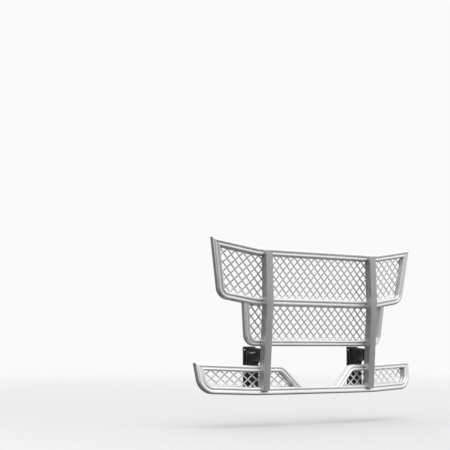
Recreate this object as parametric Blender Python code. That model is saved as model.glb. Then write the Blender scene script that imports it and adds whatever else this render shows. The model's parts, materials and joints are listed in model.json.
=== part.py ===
"""Front grille guard for a cab-over truck: a fold-down aluminium bar on two bolted steel brackets.

Metres, +Z up. X runs across the truck, -Y points ahead of it. The design below is written in road coordinates:
heights are above the road and depths run back from the guard's foremost point. BASE moves it to the part's own
origin, the middle of the bounding box's floor.
"""

import math

import bmesh
import bpy
from mathutils import Vector

# --- Driving dimensions -------------------------------------------------------------------------------------
GAP = 0.0003  # clearance left where two pieces touch
BASE = Vector((0.0, 0.15545, 0.254))  # road coordinates of the part's origin

# Rails: one grooved extrusion in three widths and two depths.
UPPER_WIDTH, MIDDLE_WIDTH, BAR_TOP_WIDTH, BAR_WIDTH = 0.060, 0.048, 0.052, 0.064
FRAME_DEPTH, BAR_DEPTH = 0.048, 0.054
RAIL_WALL = 0.006
EDGE_RADIUS, BACK_CHAMFER = 0.010, 0.004
GROOVE_DEPTH, GROOVE_FLOOR, GROOVE_MOUTH = 0.006, 0.006, 0.012
GROOVE_SHIFT = 0.0024  # how far the groove lies from the rail's middle, towards its inner edge

# Outer edges of the frames, before the wings are swept back and lifted.
TOP_Z, TOP_CORNER_X = 1.427, 1.042
MID_Z, MID_CORNER_X, MID_RADIUS = 0.966, 0.963, 0.090
MIDDLE_TOP_X, MIDDLE_LOW_X, MIDDLE_LOW_Z, MIDDLE_RADIUS = 0.742, 0.706, 0.642, 0.085
BAR_TOP_Z, BAR_TOP_X = 0.489, 1.121
BAR_LOW_Z, BAR_LOW_X, BAR_RADIUS = 0.254, 1.093, 0.120
SLANT_TOP_X, SLANT_LOW_X, SLANT_RADIUS = 0.355, 0.152, 0.115

# Depth of the rails' front faces at given heights, as (height, depth) of straight stretches.
FRAME_FRONT = ((1.397, 0.045), (0.996, 0.0745), (0.666, 0.1035))
BAR_FRONT = ((0.463, 0.090), (0.286, 0.066))
# Wing bends, as (distance from the middle, slope added there): how the wings sweep back, then how they lift.
FRAME_SWEEP, FRAME_LIFT = ((0.625, 0.10),), ((0.625, 0.160),)
BAR_SWEEP, BAR_LIFT = ((0.410, 0.142), (0.950, 0.06)), ((0.625, 0.040),)

# Uprights: two box tubes, bent once, in front of the rails.
UPRIGHT_X, UPRIGHT_WIDTH, UPRIGHT_DEPTH, UPRIGHT_WALL = 0.5475, 0.062, 0.0745, 0.004
UPRIGHT_FRONT = ((1.397, 0.0112), (1.020, 0.0009), (0.960, 0.0032), (0.288, 0.0605))
UPRIGHT_EDGE = 0.004
CAP_THICKNESS = 0.003

# Diamond meshes: pitch across, pitch up, and where the middle of one diamond is.
STRAND, SHEET = 0.0105, 0.003
UPPER_PATTERN = (0.0717, 0.0748, 0.0141, 1.2952)
MIDDLE_PATTERN = (0.0717, 0.0748, 0.0, 0.840)
BAR_PATTERN = (0.0795, 0.0670, 0.9350, 0.376)
MESH_LAP, MESH_BORDER, SMALLEST_HOLE = 0.011, 0.002, 0.00012

# Brackets: a bolted plate with two cheeks, a hinge eye low down and a latch high up.
PLATE_FRONT, PLATE_BACK = 0.300, 0.310
PLATE_HALF, PLATE_LOW, PLATE_TOP = 0.060, 0.256, 0.640
PLATE_HOLE, PLATE_HOLE_X, PLATE_HOLE_Z = 0.00675, 0.044, (0.282, 0.614)
CHEEK_IN, CHEEK_OUT = 0.0215, 0.0295
HINGE_Y, HINGE_Z = 0.166, 0.283
EYE_RADIUS, LUG_RADIUS, PIN_RADIUS, ARM_UNDER = 0.017, 0.017, 0.008, 0.2617
LUG_REACH = 0.046  # how far the lug's block runs ahead of the hinge axis, before it is coped to the rail
BUSH_OUTER, BUSH_CLEARANCE = 0.0107, 0.0001
LATCH_Y, LATCH_Z, LATCH_RADIUS, LATCH_TRAVEL = 0.152, 0.588, 0.006, 0.052
LATCH_BORE, LATCH_NOTCH, GUIDE_LENGTH, GUIDE_RADIUS = 0.0066, 0.0070, 0.020, 0.012
STRIKER_LOW, STRIKER_HIGH = 0.572, 0.616
BUFFER_Z, BUFFER_RADIUS, STUD_RADIUS, STUD_HOLE = 0.545, 0.014, 0.004, 0.0045
SHELF_FRONT, SHELF_BACK = 0.141, 0.149
BOLT_RADIUS, BOLT_HOLE, ROUND = 0.005, 0.0054, 24  # ROUND is the number of sides of a turned piece

# Where each upright is bolted to the rail behind it: the rail's name, the height and whether it is on the bar.
CROSSINGS = (("mid", 0.996, False), ("middle", 0.666, False), ("bar", 0.463, True))


# --- Scene helpers ------------------------------------------------------------------------------------------
def clear_scene():
    for thing in list(bpy.data.objects):
        bpy.data.objects.remove(thing, do_unlink=True)


def material(name, colour, roughness, metallic):
    made = bpy.data.materials.new(name)
    made.use_nodes = True
    shader = made.node_tree.nodes["Principled BSDF"]
    shader.inputs["Base Color"].default_value = (*colour, 1.0)
    shader.inputs["Roughness"].default_value = roughness
    shader.inputs["Metallic"].default_value = metallic
    return made


def axis_empty(name, point):
    """An empty on a joint's axis. The pieces of the moving body hang from it."""
    empty = bpy.data.objects.new(name, None)
    empty.location = Vector(point) - BASE
    empty.empty_display_size = 0.05
    bpy.context.scene.collection.objects.link(empty)
    bpy.context.view_layer.update()
    return empty


def finish(name, shape, finish_material, body=None):
    """Turn a bmesh in road coordinates into an object, with its origin on its body's axis."""
    centre = BASE + (body.location if body else Vector((0.0, 0.0, 0.0)))
    bmesh.ops.translate(shape, verts=shape.verts, vec=-centre)
    bmesh.ops.recalc_face_normals(shape, faces=shape.faces)
    mesh = bpy.data.meshes.new(name)
    shape.to_mesh(mesh)
    shape.free()
    mesh.shade_smooth()
    mesh.set_sharp_from_angle(angle=math.radians(32))
    made = bpy.data.objects.new(name, mesh)
    made.parent = body
    if finish_material:
        mesh.materials.append(finish_material)
    bpy.context.scene.collection.objects.link(made)
    return made


def boolean(target, name, shape, operation="DIFFERENCE"):
    """Cut a shape out of an object, or join it on. The shape stays as a hidden wire guide."""
    guide = finish(name, shape, None, target.parent)
    guide.hide_render = True
    guide.display_type = "WIRE"
    step = target.modifiers.new(name, "BOOLEAN")
    step.operation = operation
    step.solver = "EXACT"
    step.object = guide


# --- Basic shapes -------------------------------------------------------------------------------------------
def box(low, high):
    shape = bmesh.new()
    bmesh.ops.create_cube(shape, size=1.0)
    for vert in shape.verts:
        vert.co = [low[i] + (vert.co[i] + 0.5) * (high[i] - low[i]) for i in range(3)]
    return shape


def side_plate(outline, x_low, x_high):
    """A flat plate whose (depth, height) outline is extruded across X."""
    shape = bmesh.new()
    face = shape.faces.new([shape.verts.new((x_low, y, z)) for y, z in outline])
    grown = bmesh.ops.extrude_face_region(shape, geom=[face])["geom"]
    moved = [item for item in grown if isinstance(item, bmesh.types.BMVert)]
    bmesh.ops.translate(shape, verts=moved, vec=(x_high - x_low, 0.0, 0.0))
    return shape


def turned(centre, axis, sections, count=ROUND):
    """A solid turned about axis, from sections of (distance along, radius) or (distance, radius, "hex")."""
    shape = bmesh.new()
    axis = Vector(axis).normalized()
    first = axis.orthogonal().normalized()
    second = axis.cross(first)
    rings = []
    for section in sections:
        ring = []
        for step in range(count):
            angle = 2.0 * math.pi * step / count
            radius = section[1]
            if len(section) > 2:
                radius = section[1] / math.cos((angle + 1e-9) % (math.pi / 3.0) - math.pi / 6.0)
            out = first * math.cos(angle) + second * math.sin(angle)
            ring.append(shape.verts.new(Vector(centre) + axis * section[0] + out * radius))
        rings.append(ring)
    for low, high in zip(rings, rings[1:]):
        for step in range(count):
            after = (step + 1) % count
            shape.faces.new((low[step], low[after], high[after], high[step]))
    shape.faces.new(rings[0])
    shape.faces.new(rings[-1])
    return shape


def sleeve(centre, axis, inner, outer, length, count=ROUND):
    """A plain round sleeve, centred on a point."""
    shape = bmesh.new()
    axis = Vector(axis).normalized()
    first = axis.orthogonal().normalized()
    second = axis.cross(first)
    corners = ((-length / 2, inner), (-length / 2, outer), (length / 2, outer), (length / 2, inner))
    rings = []
    for along, radius in corners:
        ring = []
        for step in range(count):
            angle = 2.0 * math.pi * step / count
            out = first * math.cos(angle) + second * math.sin(angle)
            ring.append(shape.verts.new(Vector(centre) + axis * along + out * radius))
        rings.append(ring)
    for index, ring in enumerate(rings):
        other = rings[(index + 1) % len(rings)]
        for step in range(count):
            after = (step + 1) % count
            shape.faces.new((ring[step], ring[after], other[after], other[step]))
    return shape


def hex_bolt(centre, axis, shank, flat=0.0085, head=0.0064):
    """A flanged hexagon bolt. Its shank runs from centre along axis, its head stands the other way."""
    sections = ((-head - 0.002, flat, "hex"), (-0.002, flat, "hex"), (0.0, flat + 0.0022))
    return turned(centre, axis, sections + ((0.0, BOLT_RADIUS), (shank, BOLT_RADIUS)), 12)


def arc(centre, radius, start, end, steps):
    """Points on a circle, angles in degrees."""
    found = []
    for step in range(steps + 1):
        angle = math.radians(start + (end - start) * step / steps)
        found.append((centre[0] + radius * math.cos(angle), centre[1] + radius * math.sin(angle)))
    return found


# --- Paths in the plane of the frames, as (across, height) --------------------------------------------------
def rounded(points, radii, steps=5):
    """A path whose inner corners are replaced with arcs. A radius of 0 keeps the corner."""
    found = [Vector(points[0])]
    for index in range(1, len(points) - 1):
        corner = Vector(points[index])
        back = (Vector(points[index - 1]) - corner).normalized()
        ahead = (Vector(points[index + 1]) - corner).normalized()
        if not radii[index]:
            found.append(corner)
            continue
        half = back.angle(ahead) / 2.0
        centre = corner + (back + ahead).normalized() * (radii[index] / math.sin(half))
        start = corner + back * (radii[index] / math.tan(half)) - centre
        end = corner + ahead * (radii[index] / math.tan(half)) - centre
        turn = start.angle_signed(end)
        for step in range(steps + 1):
            angle = -turn * step / steps
            spun = Vector((start.x * math.cos(angle) - start.y * math.sin(angle),
                           start.x * math.sin(angle) + start.y * math.cos(angle)))
            found.append(centre + spun)
    found.append(Vector(points[-1]))
    return found


def split_at(path, places):
    """Add a point wherever the path crosses one of the places, on either side of the middle."""
    found = [path[0]]
    for start, end in zip(path, path[1:]):
        cuts = []
        for place in places:
            for x in (place, -place):
                if (start.x - x) * (end.x - x) < 0.0:
                    cuts.append((x - start.x) / (end.x - start.x))
        found += [start.lerp(end, share) for share in sorted(cuts)]
        found.append(end)
    return found


def left_of(direction):
    return Vector((-direction.y, direction.x))


def offset_outline(points, distance):
    """A closed outline, listed anticlockwise, moved outward by distance."""
    found = []
    for index, point in enumerate(points):
        before = (point - points[index - 1]).normalized()
        after = (points[(index + 1) % len(points)] - point).normalized()
        across = left_of(before) + left_of(after)
        across /= 1.0 + left_of(before).dot(left_of(after))
        found.append(point - across * distance)
    return found


# --- Frame surfaces -----------------------------------------------------------------------------------------
def front_depth(knots, height):
    """Depth of a front face at a height, along straight stretches listed from the top down."""
    pair = (knots[0], knots[1])
    for high, low in zip(knots, knots[1:]):
        pair = (high, low)
        if height >= low[0]:
            break
    (z0, y0), (z1, y1) = pair
    return y0 + (y1 - y0) * (height - z0) / (z1 - z0)


def bent(bends, across):
    """Offset gathered across the bends, out to a distance from the middle."""
    return sum(slope * max(0.0, across - place) for place, slope in bends)


class Surface:
    """The bent front surface that the rails and meshes of one frame follow."""

    def __init__(self, front, sweep, lift):
        self.front = front
        self.sweep = sweep
        self.lift = lift
        self.places = sorted({place for place, _ in sweep + lift})

    def point(self, x, depth, z):
        side = abs(x)
        back = front_depth(self.front, z) + depth + bent(self.sweep, side)
        return Vector((x, back, z + bent(self.lift, side)))

    def wrap(self, shape):
        for vert in shape.verts:
            vert.co = self.point(*vert.co)


FRAME = Surface(FRAME_FRONT, FRAME_SWEEP, FRAME_LIFT)
BAR = Surface(BAR_FRONT, BAR_SWEEP, BAR_LIFT)


# --- Rails --------------------------------------------------------------------------------------------------
def rail_outside(width, depth):
    """The extrusion's outside as (across, depth): two beads beside a groove, rounded edges, chamfered back."""
    half = width / 2.0
    radius = EDGE_RADIUS
    edge = arc((half - radius, radius), radius, -90, 0, 3)
    edge += [(half, depth - BACK_CHAMFER), (half - BACK_CHAMFER, depth)]
    mirrored = [(-across, deep) for across, deep in reversed(edge)]
    beads = [(GROOVE_FLOOR / 2 - GROOVE_SHIFT, GROOVE_DEPTH), (GROOVE_MOUTH / 2 - GROOVE_SHIFT, 0.0)] + edge
    mouth, bottom = -GROOVE_MOUTH / 2 - GROOVE_SHIFT, -GROOVE_FLOOR / 2 - GROOVE_SHIFT
    beads += mirrored + [(mouth, 0.0), (bottom, GROOVE_DEPTH)]
    return [(across - half, deep) for across, deep in beads]


def rail_inside(width, depth):
    low, high = RAIL_WALL - width, -RAIL_WALL
    near, far = GROOVE_DEPTH + 0.004, depth - 0.005
    return [(high, near), (high, far), (low, far), (low, near)]


def clear_outline(width, depth):
    """The extrusion's outside, grown by the clearance and without its groove, for coping other pieces to it."""
    half = width / 2.0 + GAP
    radius = EDGE_RADIUS + GAP
    right = arc((half - radius, radius - GAP), radius, -90, 0, 4) + [(half, depth + GAP)]
    left = [(-across, deep) for across, deep in reversed(right)]
    return [(across - width / 2.0, deep) for across, deep in right + left]


def sweep_ring(shape, path, index, profile, cuts):
    """One ring of a sweep: mitred at a corner of the path, cut to a line at an end that has one."""
    point = path[index]
    ways = []
    if index > 0:
        ways.append((point - path[index - 1]).normalized())
    if index < len(path) - 1:
        ways.append((path[index + 1] - point).normalized())
    across = left_of(ways[0]) + left_of(ways[-1])
    across /= 1.0 + left_of(ways[0]).dot(left_of(ways[-1]))
    cut = cuts.get(index)
    ring = []
    for out, depth in profile:
        place = point + across * out
        if cut:
            on_cut, normal = cut
            place += ways[0] * ((on_cut - place).dot(normal) / ways[0].dot(normal))
        ring.append(shape.verts.new((place.x, depth, place.y)))
    return ring


def skin(shape, rings):
    for low, high in zip(rings, rings[1:]):
        for index in range(len(low)):
            after = (index + 1) % len(low)
            shape.faces.new((low[index], low[after], high[after], high[index]))


def ring_edges(shape, ring):
    return [shape.edges.get((ring[i - 1], ring[i])) for i in range(len(ring))]


def swept(path, outside, inside=None, start_cut=None, end_cut=None):
    """An extrusion along a path. Its outer edge is on the path's left, and it is open ended if it is hollow."""
    shape = bmesh.new()
    cuts = {0: start_cut, len(path) - 1: end_cut}
    outer = [sweep_ring(shape, path, index, outside, cuts) for index in range(len(path))]
    skin(shape, outer)
    if inside:
        inner = [sweep_ring(shape, path, index, inside, cuts) for index in range(len(path))]
        skin(shape, inner)
        for end in (0, -1):
            edges = ring_edges(shape, outer[end]) + ring_edges(shape, inner[end])
            bmesh.ops.triangle_fill(shape, edges=edges, use_beauty=True)
    else:
        shape.faces.new(outer[0])
        shape.faces.new(outer[-1])
    return shape


def mirrored_path(points):
    return [(-x, z) for x, z in reversed(points)]


def end_line(outer, inner, shift):
    """A cut through two points, moved along by half the clearance, as a point on it and its normal."""
    along = (inner - outer).normalized()
    return outer + left_of(along) * shift, left_of(along)


def crossing(first, first_way, second, second_way):
    """Where two lines meet."""
    side = left_of(second_way)
    return first + first_way * ((second - first).dot(side) / first_way.dot(side))


def mitre(corner, top_width, side_foot, side_width):
    """Outer and inner corner where a level rail meets a side rail that runs down to side_foot."""
    down = (side_foot - corner).normalized()
    inward = left_of(down) if left_of(down).x * corner.x < 0 else -left_of(down)
    inner = crossing(corner - Vector((0.0, top_width)), Vector((1.0, 0.0)), corner + inward * side_width, down)
    return corner, inner


TOP_CORNER = Vector((TOP_CORNER_X, TOP_Z))
MID_CORNER = Vector((MID_CORNER_X, MID_Z))
BAR_TOP_CORNER = Vector((BAR_TOP_X, BAR_TOP_Z))
BAR_LOW_CORNER = Vector((BAR_LOW_X, BAR_LOW_Z))
UPPER_MITRE = mitre(TOP_CORNER, UPPER_WIDTH, MID_CORNER, UPPER_WIDTH)
BAR_MITRE = mitre(BAR_TOP_CORNER, BAR_TOP_WIDTH, BAR_LOW_CORNER, BAR_WIDTH)


def flipped(point):
    return Vector((-point.x, point.y))


def u_rail(top, low, radius, width, depth, surface, mitres):
    """A rail bent into a U: down the right side, across the bottom and up the left."""
    points = [(top.x, top.y), (low.x, low.y), (-low.x, low.y), (-top.x, top.y)]
    path = split_at(rounded(points, (0, radius, radius, 0)), surface.places)
    if mitres:
        outer, inner = mitres
        start = end_line(outer, inner, GAP / 2)
        end = end_line(flipped(outer), flipped(inner), -GAP / 2)
    else:
        start = (top - Vector((0.0, GAP)), Vector((0.0, 1.0)))
        end = start
    shape = swept(path, rail_outside(width, depth), rail_inside(width, depth), start, end)
    surface.wrap(shape)
    return shape


def top_rail(body, metal):
    points = [Vector((-TOP_CORNER_X, TOP_Z)), Vector((TOP_CORNER_X, TOP_Z))]
    outer, inner = UPPER_MITRE
    start = end_line(flipped(outer), flipped(inner), GAP / 2)
    end = end_line(outer, inner, -GAP / 2)
    path = split_at(points, FRAME.places)
    outside, inside = rail_outside(UPPER_WIDTH, FRAME_DEPTH), rail_inside(UPPER_WIDTH, FRAME_DEPTH)
    shape = swept(path, outside, inside, start, end)
    FRAME.wrap(shape)
    return finish("top_rail", shape, metal, body)


def bar_top_rail(side, body, metal):
    """The bar's upper rail: level from the outer mitre, then bent down and coped onto the bottom rail."""
    name = "left_bar_top_rail" if side < 0 else "right_bar_top_rail"
    groove_z = BAR_LOW_Z + BAR_WIDTH / 2.0
    points = [(SLANT_LOW_X, groove_z), (SLANT_TOP_X, BAR_TOP_Z), (BAR_TOP_X, BAR_TOP_Z)]
    path = split_at(rounded(points, (0, SLANT_RADIUS, 0), 4), BAR.places)
    outer, inner = BAR_MITRE
    foot = (Vector(points[0]), Vector((0.0, 1.0)))
    outside, inside = rail_outside(BAR_TOP_WIDTH, BAR_DEPTH), rail_inside(BAR_TOP_WIDTH, BAR_DEPTH)
    shape = swept(path, outside, inside, foot, end_line(outer, inner, -GAP / 2))
    BAR.wrap(shape)
    for vert in shape.verts:
        vert.co.x *= side
    made = finish(name, shape, metal, body)
    drill_rail(made, side, "bar")
    boolean(made, name + "_cope", straight_rail(BAR, BAR_LOW_Z, BAR_WIDTH, BAR_DEPTH, side, 0.02, SLANT_TOP_X))


def straight_rail(surface, low_z, width, depth, side, x_from, x_to):
    """A plain grown copy of a level rail between two distances from the middle, used to cope other pieces."""
    path = split_at([Vector((x_to, low_z)), Vector((x_from, low_z))], surface.places)
    shape = swept(path, clear_outline(width, depth))
    surface.wrap(shape)
    for vert in shape.verts:
        vert.co.x *= side
    return shape


# --- Uprights -----------------------------------------------------------------------------------------------
def upright_outline(wall, reach):
    """Side view of the tube, moved in by a wall and stretched past both ends by reach."""
    front = [(depth + wall, height) for height, depth in UPRIGHT_FRONT]
    back = [(depth + UPRIGHT_DEPTH - wall, height) for height, depth in reversed(UPRIGHT_FRONT)]
    ends = {0: reach, len(front) - 1: -reach}
    front = [(y, z + ends.get(index, 0.0)) for index, (y, z) in enumerate(front)]
    back = [(y, z + ends.get(len(front) - 1 - index, 0.0)) for index, (y, z) in enumerate(back)]
    return front + back


def upright_cuts(side):
    """Every rail that an upright is coped or seated onto, as grown copies across its width."""
    span = (side, UPRIGHT_X - 0.045, UPRIGHT_X + 0.045)
    return {
        "top": straight_rail(FRAME, TOP_Z - UPPER_WIDTH, UPPER_WIDTH, FRAME_DEPTH, *span),
        "mid": straight_rail(FRAME, MID_Z, UPPER_WIDTH, FRAME_DEPTH, *span),
        "middle": straight_rail(FRAME, MIDDLE_LOW_Z, MIDDLE_WIDTH, FRAME_DEPTH, *span),
        "bar": straight_rail(BAR, BAR_TOP_Z - BAR_TOP_WIDTH, BAR_TOP_WIDTH, BAR_DEPTH, *span),
        "foot": straight_rail(BAR, BAR_LOW_Z, BAR_WIDTH, BAR_DEPTH, *span),
    }


def upright(side, body, metal):
    name = "left_upright" if side < 0 else "right_upright"
    half = UPRIGHT_WIDTH / 2.0
    centre = side * UPRIGHT_X
    shape = side_plate(upright_outline(0.0, 0.0), centre - half, centre + half)
    long_edges = [edge for edge in shape.edges
                  if abs(edge.verts[0].co.x - edge.verts[1].co.x) < 1e-6
                  and abs(edge.verts[0].co.z - edge.verts[1].co.z) > 0.02]
    bmesh.ops.bevel(shape, geom=long_edges, offset=UPRIGHT_EDGE, segments=2, affect="EDGES", profile=0.5)
    made = finish(name, shape, metal, body)
    inside = half - UPRIGHT_WALL
    hollow = side_plate(upright_outline(UPRIGHT_WALL, 0.02), centre - inside, centre + inside)
    boolean(made, name + "_hollow", hollow)
    for place, cutter in upright_cuts(side).items():
        boolean(made, f"{name}_{place}_seat", cutter)
    for place, point in crossing_points(side).items():
        hole = turned(point, (0, 1, 0), ((-0.02, BOLT_HOLE), (0.02, BOLT_HOLE)), 16)
        boolean(made, f"{name}_{place}_hole", hole)
    return made


def upright_cap(side, top, body, metal):
    """The plate that closes one end of an upright, ahead of the rail that the end is coped onto."""
    name = f"{'left' if side < 0 else 'right'}_upright_{'top' if top else 'foot'}_cap"
    height, depth = UPRIGHT_FRONT[0] if top else UPRIGHT_FRONT[-1]
    surface, rail_z = (FRAME, TOP_Z - UPPER_WIDTH / 2) if top else (BAR, BAR_LOW_Z + BAR_WIDTH / 2)
    inside = UPRIGHT_WIDTH / 2.0 - UPRIGHT_WALL - GAP
    rail_front = surface.point(UPRIGHT_X - UPRIGHT_WIDTH / 2.0, 0.0, rail_z).y
    near = depth + UPRIGHT_WALL + GAP + 0.0005
    far = rail_front - 0.0012
    low, high = (height - CAP_THICKNESS, height) if top else (height, height + CAP_THICKNESS)
    centre = side * UPRIGHT_X
    return finish(name, box((centre - inside, near, low), (centre + inside, far, high)), metal, body)


# --- Bolted crossings ---------------------------------------------------------------------------------------
def crossing_points(side):
    """Where each crossing bolt passes the front face of its rail."""
    found = {}
    for place, height, on_bar in CROSSINGS:
        surface = BAR if on_bar else FRAME
        found[place] = surface.point(side * UPRIGHT_X, 0.0, height)
    return found


def drill_rail(rail, side, place):
    point = crossing_points(side)[place]
    tag = f"{rail.name}_{'left' if side < 0 else 'right'}_{place}_hole"
    boolean(rail, tag, turned(point, (0, 1, 0), ((-0.01, BOLT_HOLE), (0.07, BOLT_HOLE)), 16))


def crossing_bolts(side, body, steel):
    hand = "left" if side < 0 else "right"
    for place, _, on_bar in CROSSINGS:
        point = crossing_points(side)[place]
        depth = BAR_DEPTH if on_bar else FRAME_DEPTH
        seat = point + Vector((0.0, depth + 0.0025, 0.0))
        finish(f"{hand}_{place}_rail_bolt", hex_bolt(seat, (0, -1, 0), depth + 0.012), steel, body)


# --- Meshes -------------------------------------------------------------------------------------------------
def clip(polygon, outline):
    """The part of a convex polygon inside a convex outline, both listed anticlockwise."""
    for index, point in enumerate(outline):
        way = point - outline[index - 1]
        start = outline[index - 1]
        kept = []
        for count, here in enumerate(polygon):
            last = polygon[count - 1]
            inside, was_inside = way.cross(here - start) >= 0.0, way.cross(last - start) >= 0.0
            if inside != was_inside:
                share = way.cross(start - last) / way.cross(here - last)
                kept.append(last.lerp(here, share))
            if inside:
                kept.append(here)
        polygon = kept
        if len(polygon) < 3:
            return []
    return polygon


def area(polygon):
    return sum(polygon[i - 1].cross(polygon[i]) for i in range(len(polygon))) / 2.0


def tidy(polygon):
    """Drop points that lie on top of their neighbour."""
    return [point for index, point in enumerate(polygon) if (point - polygon[index - 1]).length > 0.0004]


def diamonds(outline, pattern):
    """The sheet's holes: a diagonal grid of diamonds, clipped to an outline."""
    wide, tall = pattern[0] / 2.0, pattern[1] / 2.0
    start = Vector(pattern[2:])
    share = 1.0 - STRAND / 2.0 * math.hypot(wide, tall) / (wide * tall)
    corners = [Vector((wide * share, 0.0)), Vector((0.0, tall * share))]
    corners += [-corners[0], -corners[1]]
    columns = [math.floor((point.x - start.x) / wide) for point in outline]
    rows = [math.floor((point.y - start.y) / tall) for point in outline]
    found = []
    for column in range(min(columns) - 1, max(columns) + 3):
        for row in range(min(rows) - 1, max(rows) + 3):
            if (column + row) % 2:
                continue
            centre = start + Vector((column * wide, row * tall))
            hole = tidy(clip([centre + corner for corner in corners], outline))
            if len(hole) > 2 and area(hole) > SMALLEST_HOLE:
                found.append(hole)
    return found


def mesh_sheet(name, opening, pattern, depth, surface, body, metal):
    """A sheet of diamond mesh against the backs of the rails around an opening."""
    shape = bmesh.new()
    loops = [offset_outline(opening, MESH_LAP)] + diamonds(offset_outline(opening, -MESH_BORDER), pattern)
    edges = []
    for loop in loops:
        verts = [shape.verts.new((point.x, depth + GAP, point.y)) for point in loop]
        edges += [shape.edges.new((verts[i - 1], verts[i])) for i in range(len(verts))]
    bmesh.ops.triangle_fill(shape, edges=edges, use_beauty=False)
    for place in surface.places:
        for x in (place, -place):
            everything = shape.verts[:] + shape.edges[:] + shape.faces[:]
            bmesh.ops.bisect_plane(shape, geom=everything, plane_co=(x, 0, 0), plane_no=(1, 0, 0), dist=1e-6)
    grown = bmesh.ops.extrude_face_region(shape, geom=shape.faces[:])["geom"]
    moved = [item for item in grown if isinstance(item, bmesh.types.BMVert)]
    bmesh.ops.translate(shape, verts=moved, vec=(0.0, SHEET, 0.0))
    surface.wrap(shape)
    return finish(name, shape, metal, body)


def closed_rounded(points, radii, steps):
    """Like rounded, for a closed outline."""
    count = len(points)
    found = []
    for index in range(count):
        trio = [points[index - 1], points[index], points[(index + 1) % count]]
        found += rounded(trio, (0, radii[index], 0), steps)[1:-1]
    return found


def upper_opening():
    inner = UPPER_MITRE[1]
    down = (MID_CORNER - TOP_CORNER).normalized()
    low = crossing(inner, down, Vector((0.0, MID_Z + UPPER_WIDTH)), Vector((1.0, 0.0)))
    points = [(-low.x, low.y), (low.x, low.y), (inner.x, inner.y), (-inner.x, inner.y)]
    radius = MID_RADIUS - UPPER_WIDTH
    return closed_rounded(points, (radius, radius, 0, 0), 4)


def middle_opening():
    down = Vector((MIDDLE_LOW_X - MIDDLE_TOP_X, MIDDLE_LOW_Z - MID_Z)).normalized()
    edge = Vector((MIDDLE_TOP_X, MID_Z)) - left_of(down) * MIDDLE_WIDTH
    low = crossing(edge, down, Vector((0.0, MIDDLE_LOW_Z + MIDDLE_WIDTH)), Vector((1.0, 0.0)))
    high = crossing(edge, down, Vector((0.0, MID_Z)), Vector((1.0, 0.0)))
    points = [(-low.x, low.y), (low.x, low.y), (high.x, high.y), (-high.x, high.y)]
    radius = MIDDLE_RADIUS - MIDDLE_WIDTH
    return closed_rounded(points, (radius, radius, 0, 0), 4)


def bar_opening(side):
    inner = BAR_MITRE[1]
    down = (BAR_LOW_CORNER - BAR_TOP_CORNER).normalized()
    floor = Vector((0.0, BAR_LOW_Z + BAR_WIDTH))
    low = crossing(inner, down, floor, Vector((1.0, 0.0)))
    slant = Vector((SLANT_TOP_X - SLANT_LOW_X, BAR_TOP_Z - BAR_LOW_Z - BAR_WIDTH / 2.0)).normalized()
    edge = Vector((SLANT_TOP_X, BAR_TOP_Z)) - left_of(slant) * BAR_TOP_WIDTH
    foot = crossing(edge, slant, floor, Vector((1.0, 0.0)))
    head = crossing(edge, slant, inner, Vector((1.0, 0.0)))
    points = [(foot.x, foot.y), (low.x, low.y), (inner.x, inner.y), (head.x, head.y)]
    radii = (0, BAR_RADIUS - BAR_WIDTH, 0, SLANT_RADIUS - BAR_TOP_WIDTH)
    if side < 0:
        points = mirrored_path(points)
        radii = tuple(reversed(radii))
    return closed_rounded(points, radii, 4)


# --- Hinge, latch and brackets ------------------------------------------------------------------------------
def cheek_outline():
    """Side view of a bracket cheek: a low arm to the hinge eye, a web, and a high arm to the latch."""
    front = [(HINGE_Y + 0.016, ARM_UNDER)] + arc((HINGE_Y, HINGE_Z), EYE_RADIUS, 290, 90, 8)
    rise = [(HINGE_Y + 0.030, HINGE_Z + EYE_RADIUS), (0.215, 0.330), (0.215, 0.500), (0.196, 0.520)]
    arm = [(0.133, 0.520), (0.133, 0.612), (0.140, 0.620), (PLATE_FRONT + 0.002, 0.634)]
    return [(PLATE_FRONT + 0.002, ARM_UNDER)] + front + rise + arm


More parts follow.
